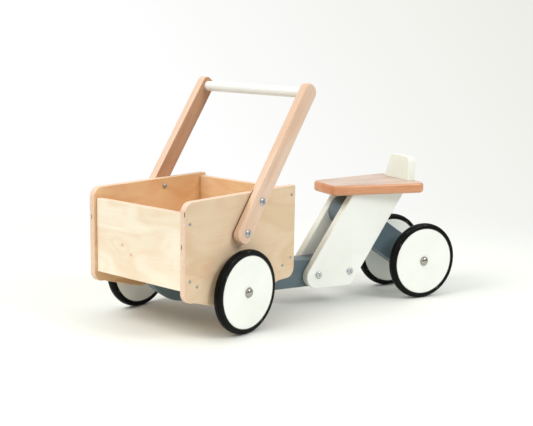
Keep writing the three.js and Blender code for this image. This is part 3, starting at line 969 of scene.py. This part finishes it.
@dataclass
class RearFrame(Assembly):
    """The slate beam and stay between the two white side plates, with their bolts."""

    half: float = 20.1
    edge: float = 2.2
    nose_radius: float = 80.0
    nose_y: float = -12.0
    beam_back: Point = (350.0, 388.0)
    plate_thick: float = 18.7
    plate_bottom: float = 38.3
    plate_front: float = 226.9
    plate_back: float = 355.0
    plate_top: float = 227.5
    lean: float = 56.4
    stay_radius: float = 31.0
    stay_front: Point = (361.0, 186.0)
    axle: Point = (WHEELBASE, AXLE_Z)
    bolts: tuple[tuple[str, float, float], ...] = (("front", 275.5, 66.8), ("back", 350.4, 67.9))
    bolt: ConnectorBolt = field(default_factory=lambda: ConnectorBolt(socket=3.0))
    bolt_past: float = 14.0  # how far past the middle the bolts reach
    nut_short: float = 15.0  # how far short of the middle the nuts end

    def build(self) -> None:
        """Makes the beam, the stay, the plates and their bolts."""
        low = upright(-self.half)
        self.add("frame_beam", self.beam(), low, SLATE, Slot.SLATE)
        self.add("rear_stay", self.stay(), low, SLATE, Slot.SLATE)
        for side in Side:
            x = PLATE_INNER if side is Side.LEFT else -PLATE_INNER - self.plate_thick
            # The plates' edges take the darker white: painted shade.
            self.add(f"side_plate_{side.word}", self.plate(side), upright(x), WHITE, Slot.WHITE, SHADED_EDGE_WHITE)
        face = PLATE_INNER + self.plate_thick + GAP
        for name, y, z in self.bolts:
            for kind, length, radius, side in (
                ("bolt", face + self.bolt_past, self.bolt.shank, Side.LEFT),
                ("nut", face - self.nut_short, self.bolt.sleeve, Side.RIGHT),
            ):
                mesh = self.bolt.mesh(length, radius, f"plate_{kind}")
                place = outward(side, (side.value * face, y, z))
                self.add(f"plate_{kind}_{name}", mesh, place, BRIGHT_ZINC, Slot.ZINC)

    def beam(self) -> bpy.types.Mesh:
        """The beam from its round nose under the box to the plates."""
        centre = BEAM_BOTTOM + self.nose_radius
        top = 180 + math.degrees(math.asin((centre - BEAM_TOP) / self.nose_radius))
        nose = arc((self.nose_y, centre), self.nose_radius, top, 270)
        back_bottom, back_top = self.beam_back
        outline = [*nose, (back_bottom, BEAM_BOTTOM), (back_top, BEAM_TOP)]
        thick = 2 * self.half
        cutters = [drill((y, z), self.bolt.sleeve + GAP, thick) for _, y, z in self.bolts]
        turn = shift(STEERING_Y, 0, self.half) @ Matrix.Rotation(-math.pi / 2, 4, "X")
        below, above = 30.0, 110.0  # clear of the beam's underside and top
        cutters.append(moved(plug(STEERING_HOLE, below, above), turn))
        return cut(board(outline, thick, self.edge), cutters, "beam")

    def plate(self, side: Side) -> bpy.types.Mesh:
        """A leaning side plate."""
        run = (self.plate_top - self.plate_bottom) / math.tan(math.radians(self.lean))
        corners = [
            (self.plate_front, self.plate_bottom, 25),
            (self.plate_back, self.plate_bottom, 12),
            (self.plate_back + run, self.plate_top, 3),
            (self.plate_front + run, self.plate_top, 3),
        ]
        radius = (self.bolt.shank if side is Side.LEFT else self.bolt.sleeve) + GAP
        holes = [drill((y, z), radius, self.plate_thick) for _, y, z in self.bolts]
        return cut(board(rounded(corners), self.plate_thick, 2.0), holes, "side_plate")

    def stay(self) -> bpy.types.Mesh:
        """The stay that runs down to the rear axle, round at both ends."""
        (y0, z0), (y1, z1) = self.stay_front, self.axle
        tilt = math.degrees(math.atan2(z1 - z0, y1 - y0))
        outline = arc(self.stay_front, self.stay_radius, tilt + 90, tilt + 270)
        outline += arc(self.axle, self.stay_radius, tilt - 90, tilt + 90)
        thick = 2 * self.half
        return cut(board(outline, thick, self.edge), [drill(self.axle, AXLE_HOLE, thick)], "stay")


@dataclass
class Seat(Assembly):
    """The beech seat board, wider at the back, and the small painted rest on it."""

    top: float = 250.0
    thick: float = 22.2
    front: float = 303.5
    back: float = 509.0
    half_front: float = 42.4
    half_back: float = 78.0
    corner: float = 14.0
    edge: float = 6.5
    rest_y: float = 485.2
    rest_thick: float = 18.0
    rest_height: float = 51.0
    rest_base: float = 44.0
    rest_top: float = 34.0
    rest_corner: float = 15.0
    rest_lean: float = 8.0
    # The top is drawn paler and greyer than the sides of the same board: painted sheen.
    wood: Beech = Beech("oiled_beech_seat_top", "dac3b0", "ccae98", "a97c62", 3.0, 0.3)
    wood_side: Beech = Beech("oiled_beech_seat_side", "dca077", "cc8a60", "a0674a", 4.0, 0.26)

    def build(self) -> None:
        """Makes the seat board and its rest."""
        corners = [
            (self.front, -self.half_front, self.corner),
            (self.back, -self.half_back, self.corner),
            (self.back, self.half_back, self.corner),
            (self.front, self.half_front, self.corner),
        ]
        seat = finished(board(rounded(corners), self.thick, self.edge, 7), "seat")
        place = placed(Y, -X, Z, (0, 0, self.top - self.thick))
        self.add("seat_board", seat, place, self.wood, Slot.BEECH, self.wood_side)
        lean = Matrix.Rotation(math.radians(-self.rest_lean), 4, "X")
        stand = shift(0, self.rest_y, self.top) @ lean @ placed(X, Z, -Y, (0, self.rest_thick, 0))
        self.add("seat_backrest", self.rest(stand), stand, WARM_WHITE, Slot.WHITE)

    def rest(self, stand: Matrix) -> bpy.types.Mesh:
        """The rest, in its board's place, cut level where it stands on the seat."""
        sunk = 10.0  # how far its board runs below the seat's top before the cut
        clear, deep = 100.0, 40.0  # the cutter's reach and depth
        wide = self.rest_base + (self.rest_base - self.rest_top) / self.rest_height * sunk
        corners = [
            (-wide, -sunk, 4),
            (wide, -sunk, 4),
            (self.rest_top, self.rest_height, self.rest_corner),
            (-self.rest_top, self.rest_height, self.rest_corner),
        ]
        below = block((-clear, self.rest_y - clear, self.top - deep), (clear, self.rest_y + clear, self.top + GAP))
        return cut(board(rounded(corners), self.rest_thick, 3.0, 5), [moved(below, stand.inverted())], "rest")


@dataclass
class RearAxle(Assembly):
    """The steel rod that the rear wheels turn on."""

    reach: float = 73.2

    def build(self) -> None:
        """Makes the rod, its ends chamfered."""
        rod = sleeve((0, AXLE_RADIUS), (-self.reach, self.reach), (0, 0.6), 20, 40, "rear_axle")
        self.add("rear_axle_rod", rod, outward(Side.LEFT, (0, WHEELBASE, AXLE_Z)), ZINC, Slot.ZINC)


@dataclass
class Steering(Assembly):
    """The upright bolt, its nut and the nylon washer that the box turns on."""

    bolt: float = 5.0
    tip: float = 29.0
    head: float = 10.0
    sunk: float = 0.6  # how far the head lies below the floor's top
    taper: Point = (7.0, 3.0)  # how far below the floor's top the head's cone starts and ends
    key: float = 3.4
    key_floor: float = 4.0  # its depth below the floor's top
    washer: float = 24.0
    nut: float = 9.4
    nut_height: float = 8.0

    def build(self) -> None:
        """Makes the bolt, the washer and the nut."""
        top = FLOOR_BOTTOM + CROSS_THICK
        start, end = self.taper
        corners = [
            (0, self.tip, 0),
            (self.bolt, self.tip, 0.8),
            (self.bolt, top - start, 0.5),
            (self.head, top - end, 0.3),
            (self.head, top - self.sunk, 0.6),
            (0, top - self.sunk, 0),
        ]
        key = plug(self.key, top - self.key_floor, 120, 6)
        foot = placed(X, Y, Z, (0, STEERING_Y, 0))
        shaft = cut(turned(rounded(corners, 20), 48), [key], "steering_bolt")
        self.add("steering_bolt", shaft, foot, ZINC, Slot.ZINC)
        span = (BEAM_TOP + GAP, FLOOR_BOTTOM - GAP)
        ring = sleeve((STEERING_HOLE, self.washer), span, (0.3, 0.5), 30, 64, "washer")
        self.add("steering_washer", ring, foot, NYLON, Slot.NYLON)
        lift = shift(0, 0, BEAM_BOTTOM - GAP - self.nut_height)
        hexagon = board(arc((0, 0), self.nut, 0, 300, 60), self.nut_height, 0.7)
        hole = drill((0, 0), STEERING_HOLE, self.nut_height)
        self.add("steering_nut", cut(moved(hexagon, lift), [moved(hole, lift)], "nut"), foot, ZINC, Slot.ZINC)


@dataclass
class CargoBox(Assembly):
    """The birch plywood box: two side panels over the front, rear and floor panels, and its screws."""

    front: float = -141.4
    back: float = 164.4
    top: float = 261.7
    bottom: float = 77.8
    corner: float = 20.0
    lobe_reach: float = 118.0
    lobe_flat: float = 28.0
    lobe_bottom: float = 50.5
    lobe_blend: float = 40.0
    cross_bottom: float = 99.3
    front_panel: Point = (-135.2, 241.1)  # where its front face is, and its top
    rear_panel: Point = (146.4, 255.8)
    nut_hole: float = 4.9
    bolt_sink: float = 10.3  # radius of the hole that takes the steering bolt's head
    screw_head: float = 2.9
    screw_radius: float = 1.8
    screw_length: float = 36.0
    screw_room: Point = (0.35, 0.2)  # round its head and its shank
    screw_sink: Point = (2.8, 0.5)  # how far below the face its hole's cone starts and ends
    screws: tuple[tuple[str, float, float], ...] = (
        ("front_upper", -129.2, 222.3),
        ("front_lower", -129.2, 119.0),
        ("floor_front", -111.0, 106.2),
        ("floor_rear", 128.0, 106.2),
        ("rear_upper", 152.4, 242.8),
        ("rear_lower", 152.4, 118.0),
    )
    side_veneer: dict[Side, BirchVeneer] = field(
        default_factory=lambda: {
            Side.LEFT: BirchVeneer("lacquered_birch_left", "e6cfaf", "dfc6a2", "e3b592", 2.0, loops=0.14),
            Side.RIGHT: BirchVeneer("lacquered_birch_right", "f2cd9f", "e9be8b", "e2a97c", 7.0),
        }
    )
    # Where the ply's edges get a dark spot of painted shade for an open void.
    voids: dict[Side, tuple[Corner, ...]] = field(
        default_factory=lambda: {
            Side.LEFT: ((-141.0, 241.0, 11.2), (-141.0, 182.0, 3.6)),
            Side.RIGHT: ((-141.0, 205.0, 6.0),),
        }
    )
    front_veneer: BirchVeneer = BirchVeneer(
        "lacquered_birch_front", "faf1dc", "f5e7cc", "efd0b0", 5.0, ((-43.0, 161.0), (-19.5, 146.0)), 0.2, 0.34
    )
    rear_veneer: BirchVeneer = BirchVeneer("lacquered_birch_rear", "f6dcb2", "efcd9d", "e6b487", 9.0)
    floor_veneer: BirchVeneer = BirchVeneer("lacquered_birch_floor", "e9cca0", "dcb686", "d8a376", 12.0)

    def build(self) -> None:
        """Makes the panels, the floor and the screws."""
        for side in Side:
            x = BOX_OUTER - PLY if side is Side.LEFT else -BOX_OUTER
            edge = PlyEdge(f"sanded_ply_edge_{side.word}", PLY, seed=float(side.value), voids=self.voids[side])
            panel, veneer = self.side_panel(side), self.side_veneer[side]
            self.add(f"box_panel_{side.word}", panel, upright(x), veneer, Slot.BIRCH, edge)
            screw = self.screw()
            for place, y, z in self.screws:
                spot = outward(side, (side.value * BOX_OUTER, y, z))
                self.add(f"screw_{place}_{side.word}", screw.copy(), spot, ZINC, Slot.ZINC)
        edge = PlyEdge("sanded_ply_edge_cross", CROSS_THICK, seed=6.0)
        for name, (y, top), veneer in (
            ("box_panel_front", self.front_panel, self.front_veneer),
            ("box_panel_rear", self.rear_panel, self.rear_veneer),
        ):
            place = placed(X, Z, -Y, (0, y + CROSS_THICK, 0))
            self.add(name, self.cross_panel(top), place, veneer, Slot.BIRCH, edge)
        place = placed(X, Y, Z, (0, 0, FLOOR_BOTTOM))
        self.add("box_floor", self.floor(), place, self.floor_veneer, Slot.BIRCH, edge)

    def side_panel(self, side: Side) -> bpy.types.Mesh:
        """A side panel with its lobe down to the wheel's axle, and its holes."""
        corners = [
            (self.front, self.bottom, self.corner),
            (-self.lobe_reach, self.bottom, 3),
            (-self.lobe_flat, self.lobe_bottom, self.lobe_blend),
            (self.lobe_flat, self.lobe_bottom, self.lobe_blend),
            (self.lobe_reach, self.bottom, self.lobe_blend),
            (self.back, self.bottom, self.corner),
            (self.back, self.top, 4),
            (self.front, self.top, self.corner),
        ]
        cutters = [drill((y, z), self.nut_hole, PLY) for _, y, z in ARM_BOLTS]
        cutters.append(drill((0, AXLE_Z), AXLE_HOLE, PLY))
        cutters += [self.countersink(side, y, z) for _, y, z in self.screws]
        return cut(board(rounded(corners), PLY, 1.5), cutters, "side_panel")

    def countersink(self, side: Side, y: float, z: float) -> bmesh.types.BMesh:
        """The hole that takes a screw and its head, opening on a side panel's outer face."""
        head, shank = self.screw_head + self.screw_room[0], self.screw_radius + self.screw_room[1]
        start, end = (PLY - depth for depth in self.screw_sink)
        profile = [(0, -1), (shank, -1), (shank, start), (head, end), (head, PLY + 1), (0, PLY + 1)]
        if side is Side.RIGHT:
            profile = [(r, PLY - h) for r, h in reversed(profile)]
        return moved(turned(profile, 24), shift(y, z))

    def screw(self) -> bpy.types.Mesh:
        """A countersunk screw with a cross recess, its head just below the panel's face."""
        deep, wide, reach = 1.4, 0.45, 1.7  # of the recess
        corners = [
            (0, -self.screw_length, 0),
            (self.screw_radius, 4 - self.screw_length, 0.3),
            (self.screw_radius, -2.7, 0.2),
            (self.screw_head, -0.55, 0.15),
            (self.screw_head, -0.25, 0.1),
            (0, -0.2, 0),
        ]
        outline = [(reach, wide), (wide, wide), (wide, reach), (-wide, reach), (-wide, wide), (-reach, wide)]
        outline += [(-a, -b) for a, b in outline]
        cross = skin([[Vector((a, b, h)) for a, b in outline] for h in (-deep, 1.0)])
        return cut(turned(rounded(corners, 20), 24), [cross], "screw")

    def cross_panel(self, top: float) -> bpy.types.Mesh:
        """The front or rear panel, between the side panels."""
        half = BOX_OUTER - PLY - GAP
        corners = [(-half, self.cross_bottom, 2), (half, self.cross_bottom, 2), (half, top, 2), (-half, top, 2)]
        return finished(board(rounded(corners, 15), CROSS_THICK, 1.2), "cross_panel")

    def floor(self) -> bpy.types.Mesh:
        """The floor, with the steering bolt's head sunk in it."""
        half = BOX_OUTER - PLY - GAP
        front, back = self.front_panel[0] + CROSS_THICK + GAP, self.rear_panel[0] - GAP
        corners = [(-half, front, 1), (half, front, 1), (half, back, 1), (-half, back, 1)]
        cone, flat = CROSS_THICK - 7.3, CROSS_THICK - 3.3  # where the hole for the head starts and is full
        sink = [(0, -1), (STEERING_HOLE, -1), (STEERING_HOLE, cone), (self.bolt_sink, flat)]
        sink += [(self.bolt_sink, CROSS_THICK + 1), (0, CROSS_THICK + 1)]
        hole = moved(turned(sink, 48), shift(0, STEERING_Y))
        return cut(board(rounded(corners, 30), CROSS_THICK, 0.4, 2), [hole], "floor")


@dataclass
class Handle(Assembly):
    """The two beech arms on the outside of the box and the painted bar between their tops."""

    thick: float = 17.8
    width: float = 36.0
    foot: Point = (-0.15, 189.1)
    head: Point = (182.15, 439.6)
    tail: float = 18.5
    edge: float = 3.4
    bar: float = 10.2
    socket: float = 9.0
    bolt_length: float = 28.0
    nut_length: float = 12.0
    bolt: ConnectorBolt = field(default_factory=ConnectorBolt)
    nut: ConnectorBolt = field(default_factory=lambda: ConnectorBolt(head=5.6, socket=1.8))
    wood: dict[Side, Beech] = field(
        default_factory=lambda: {
            Side.LEFT: Beech("oiled_beech_arm_left", seed=1.0),
            Side.RIGHT: Beech("oiled_beech_arm_right", "c99c78", "ba8a66", "95644a", 6.0),
        }
    )
    wood_edge: dict[Side, Beech] = field(
        default_factory=lambda: {
            # The left arm's edge gets painted shade where it lies against the panel.
            Side.LEFT: Beech("oiled_beech_edge_left", "e9cdb3", "e0bb9c", seed=8.0, seam=(3.4, 5.2, 86.0)),
            Side.RIGHT: Beech("oiled_beech_edge_right", "e9cdb3", "e0bb9c", seed=9.0),
        }
    )

    def build(self) -> None:
        """Makes the arms, the bar and the bolts."""
        reach = BOX_OUTER + self.socket
        bar = sleeve((0, self.bar), (-reach, reach), (0, 0.8), 20, 72, "bar")
        self.add("grip_bar", bar, outward(Side.LEFT, (0, *self.head)), WHITE, Slot.WHITE)
        face, inside = BOX_OUTER + 2 * GAP + self.thick, BOX_OUTER - PLY - GAP
        rise = self.rise()
        along = Vector((0, math.cos(rise), math.sin(rise)))
        across = Vector((0, -math.sin(rise), math.cos(rise)))
        for side in Side:
            x = BOX_OUTER + GAP if side is Side.LEFT else -BOX_OUTER - GAP - self.thick
            place, wood, edge = placed(along, across, X, (x, *self.foot)), self.wood[side], self.wood_edge[side]
            self.add(f"handle_arm_{side.word}", self.arm(side), place, wood, Slot.BEECH, edge)
            for name, y, z in ARM_BOLTS:
                screw = self.bolt.mesh(self.bolt_length, self.bolt.shank, "arm_bolt")
                place = outward(side, (side.value * face, y, z))
                self.add(f"arm_bolt_{name}_{side.word}", screw, place, ZINC, Slot.ZINC)
                nut = self.nut.mesh(self.nut_length, self.nut.sleeve, "arm_nut")
                place = placed(Y * -side.value, Z, X * -side.value, (side.value * inside, y, z))
                self.add(f"arm_nut_{name}_{side.word}", nut, place, ZINC, Slot.ZINC)

    def rise(self) -> float:
        """The arm's angle above level, in radians."""
        return math.atan2(self.head[1] - self.foot[1], self.head[0] - self.foot[0])

    def arm(self, side: Side) -> bpy.types.Mesh:
        """An arm along local x from its foot, round at both ends, with its bolt holes and the bar's socket."""
        length = math.hypot(self.head[0] - self.foot[0], self.head[1] - self.foot[1])
        half, turn = self.width / 2, self.rise()
        tip, low_round, high_round = length + half, 14, 15
        corners = [
            (-self.tail, -half, low_round),
            (tip, -half, high_round),
            (tip, half, high_round),
            (-self.tail, half, low_round),
        ]
        cutters = []
        for _, y, z in ARM_BOLTS:
            dy, dz = y - self.foot[0], z - self.foot[1]
            spot = (dy * math.cos(turn) + dz * math.sin(turn), dz * math.cos(turn) - dy * math.sin(turn))
            cutters.append(drill(spot, self.bolt.shank + GAP, self.thick))
        low, high = (-1.0, self.socket) if side is Side.LEFT else (self.thick - self.socket, self.thick + 1)
        cutters.append(moved(plug(self.bar + GAP, low, high, 72), shift(length, 0)))
        return cut(board(rounded(corners), self.thick, self.edge, 6), cutters, "arm")


@dataclass
class FrontAxle(Assembly):
    """A bolt through each side panel, from inside the box, that a front wheel turns on."""

    inside: float = BOX_OUTER - PLY - GAP
    tip: float = 156.8
    head: float = 8.0
    head_height: float = 5.0
    socket: float = 2.9  # half its width across its corners
    socket_depth: float = 2.6

    def build(self) -> None:
        """Makes the two bolts."""
        base = self.inside - self.head_height
        corners = [
            (0, base, 0),
            (self.head - 1.2, base, 1.0),
            (self.head, base + 1.8, 0.8),
            (self.head, self.inside, 0.3),
            (AXLE_RADIUS, self.inside, 0),
            (AXLE_RADIUS, self.tip, 0.6),
            (0, self.tip, 0),
        ]
        for side in Side:
            key = plug(self.socket, base - 1, base + self.socket_depth, 6)
            shaft = cut(turned(rounded(corners, 20), 40), [key], "front_axle")
            self.add(f"front_axle_bolt_{side.word}", shaft, outward(side, (0, 0, AXLE_Z)), ZINC, Slot.ZINC)


# Studio


@dataclass
class Studio:
    """The floor, the lights and the camera."""

    azimuth: float = 61.83
    elevation: float = 10.35
    roll: float = 0.96
    distance: float = 2471.2
    target: Corner = (-275.06, 115.93, 137.14)
    lens: float = 72.135084
    sensor: float = 36.0
    wall: str = "ebece4"
    room: float = 0.36  # light from the dim room in front of the cart
    overhead: float = 0.86  # light from the ceiling and the paper behind the cart
    # Each is a direction, and how far along it the change starts and ends.
    dim: tuple[Corner, Point] = ((0.42, 0.8, 0.62), (-0.11, 0.27))  # where the wall grows dimmer
    paper: tuple[Corner, Point] = ((-0.88, 0.47, 0.0), (0.1, 0.6))  # the bright paper behind the cart
    above: tuple[Corner, Point] = ((0.0, 0.0, 1.0), (0.12, 0.7))
    rings: tuple[float, ...] = (0.4, 0.8, 1.6, 2.6, 3.6, 4.8)  # radii of the floor's rings, in metres
    spokes: int = 48

    def build(self) -> None:
        """Makes the floor, the sky, the lamps and the camera."""
        self.floor()
        self.dome()
        self.lamp("key", 1.6, 52, (2.0, 44.0), 3.2, "fffffb")
        self.lamp("side", 1.1, 34, (122.0, 36.0), 3.2, "fffffd")
        self.camera()
        bpy.context.scene.view_settings.view_transform = "Standard"
        bpy.context.scene.view_settings.look = "None"

    def floor(self) -> None:
        """A round sheet of paper on the ground."""
        mesh = bmesh.new()
        turns = [2 * math.pi * k / self.spokes for k in range(self.spokes)]
        rings = [[mesh.verts.new((r * math.cos(t), r * math.sin(t), 0)) for t in turns] for r in self.rings]
        middle = mesh.verts.new((0, 0, 0))
        for i in range(self.spokes):
            mesh.faces.new((middle, rings[0][i - 1], rings[0][i]))
            for small, large in zip(rings, rings[1:]):
                mesh.faces.new((small[i - 1], large[i - 1], large[i], small[i]))
        paper = bpy.data.objects.new("studio_floor", finished(mesh, "studio_floor"))
        paper.data.materials.append(FloorPaper("matt_floor_paper").material())
        bpy.context.scene.collection.objects.link(paper)

    def dome(self) -> None:
        """A white wall, a little dimmer behind the seat, and the room's light, dimmer low down in front."""
        world = bpy.data.worlds.new("studio_sky")
        world.use_nodes = True
        tree = world.node_tree
        tree.nodes.clear()
        way = add_node(tree, "ShaderNodeTexCoord").outputs["Generated"]
        shares = []
        for aim, (low, high) in (self.dim, self.paper, self.above):
            toward = add_node(tree, "ShaderNodeVectorMath", {0: way, 1: aim}, operation="DOT_PRODUCT")
            span = {"Value": toward.outputs["Value"], "From Min": low, "From Max": high}
            shares.append(add_node(tree, "ShaderNodeMapRange", span).outputs[0])
        dim, paper, above = shares
        sockets = {0: dim, 6: linear("ffffff"), 7: linear(self.wall)}
        wall = add_node(tree, "ShaderNodeMix", sockets, data_type="RGBA").outputs[2]
        most = add_node(tree, "ShaderNodeMath", {0: paper, 1: above}, operation="MAXIMUM").outputs[0]
        sockets = {"Value": most, "To Min": self.room, "To Max": self.overhead}
        level = add_node(tree, "ShaderNodeMapRange", sockets).outputs[0]
        seen = add_node(tree, "ShaderNodeBackground", {"Color": wall, "Strength": 1.0})
        lit = add_node(tree, "ShaderNodeBackground", {"Color": linear("fdfdff"), "Strength": level})
        straight = add_node(tree, "ShaderNodeLightPath").outputs["Is Camera Ray"]
        sky = add_node(tree, "ShaderNodeMixShader", {0: straight, 1: lit.outputs[0], 2: seen.outputs[0]})
        add_node(tree, "ShaderNodeOutputWorld", {"Surface": sky.outputs[0]})
        bpy.context.scene.world = world

    def lamp(self, name: str, size: float, power: float, way: Point, away: float, colour: str) -> None:
        """Adds a soft square lamp that looks at the cart.

        Args:
            name: the lamp's name.
            size: its side, in metres.
            power: its power, in watts.
            way: the azimuth and elevation it stands at, in degrees, as for the camera.
            away: its distance, in metres.
            colour: its colour.
        """
        light = bpy.data.lights.new(name, "AREA")
        light.size, light.energy, light.color = size, power, linear(colour)[:3]
        lamp = bpy.data.objects.new(name, light)
        back = self.back(*way)
        lamp.location = back * away + Vector((0, 0, 0.15))
        lamp.rotation_mode = "QUATERNION"
        lamp.rotation_quaternion = back.to_track_quat("Z", "Y")
        lamp.visible_camera = False
        bpy.context.scene.collection.objects.link(lamp)

    def back(self, azimuth: float, elevation: float) -> Vector:
        """The direction from the cart to whoever looks from an azimuth and elevation in degrees."""
        a, e = math.radians(azimuth), math.radians(elevation)
        return Vector((math.sin(a) * math.cos(e), -math.cos(a) * math.cos(e), math.sin(e)))

    def camera(self) -> None:
        """The camera, at its distance from the target and rolled a little."""
        data = bpy.data.cameras.new("camera")
        data.sensor_width = self.sensor
        data.lens = self.lens
        data.clip_start, data.clip_end = 0.05, 60.0
        camera = bpy.data.objects.new("camera", data)
        back = self.back(self.azimuth, self.elevation)
        level = Vector((math.cos(math.radians(self.azimuth)), math.sin(math.radians(self.azimuth)), 0))
        up = back.cross(level)
        c, s = math.cos(math.radians(self.roll)), math.sin(math.radians(self.roll))
        spot = Vector(self.target) + back * self.distance
        camera.matrix_world = placed(level * c + up * s, up * c - level * s, back, spot)
        bpy.context.scene.collection.objects.link(camera)
        bpy.context.scene.camera = camera


def joint(frame: dict, name: str) -> dict:
    """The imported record's joint of that name."""
    return next(j for j in frame["joints"] if j["name"] == name)


def rear_home() -> Matrix:
    """Where the rear frame's origin stands in the row frame."""
    low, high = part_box("rear_axle_rod")
    middle = (low + high) / 2
    return Matrix.Translation((middle.x, middle.y - WHEELBASE * MM, 0))


def steered_home(frame: dict) -> Matrix:
    """Where the steered group's origin stands in the row frame.


    Returns:
        The place of the origin, turned as the box is at rest.
    """
    pin = Vector(joint(frame, "steering")["pos_m"])
    axle = Vector(joint(frame, "front_left_wheel_spin")["axis"])
    turn = Matrix.Rotation(math.atan2(axle.y, axle.x), 4, "Z")
    return Matrix.Translation((pin.x, pin.y, 0)) @ turn @ shift(0, -STEERING_Y)


def main() -> None:
    """Builds the cart and its studio."""
    logging.basicConfig(level=logging.INFO, format="%(message)s")
    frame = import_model()
    rear_body, front_body = Body.REAR_FRAME.value, Body.CARGO_BOX.value
    rear, front = rear_home(), steered_home(frame)
    Studio().build()
    RearFrame(rear, rear_body).build()
    Seat(rear, rear_body).build()
    RearAxle(rear, rear_body).build()
    Steering(rear, rear_body).build()
    CargoBox(front, front_body).build()
    Handle(front, front_body).build()
    FrontAxle(front, front_body).build()
    for side in Side:
        rear_name, front_name = f"rear_{side.word}", f"front_{side.word}"
        where = {"outer_x": REAR_OUTER_X, "axle_y": WHEELBASE}
        Wheel(rear, f"{rear_name}_wheel", rear_name, side, **where).build()
        Wheel(front, f"{front_name}_wheel", front_name, side).build()
        AxleEnd(rear, rear_body, rear_name, side, spacer_from=PLATE_INNER, **where).build()
        AxleEnd(front, front_body, front_name, side).build()


if __name__ == "__main__":
    main()
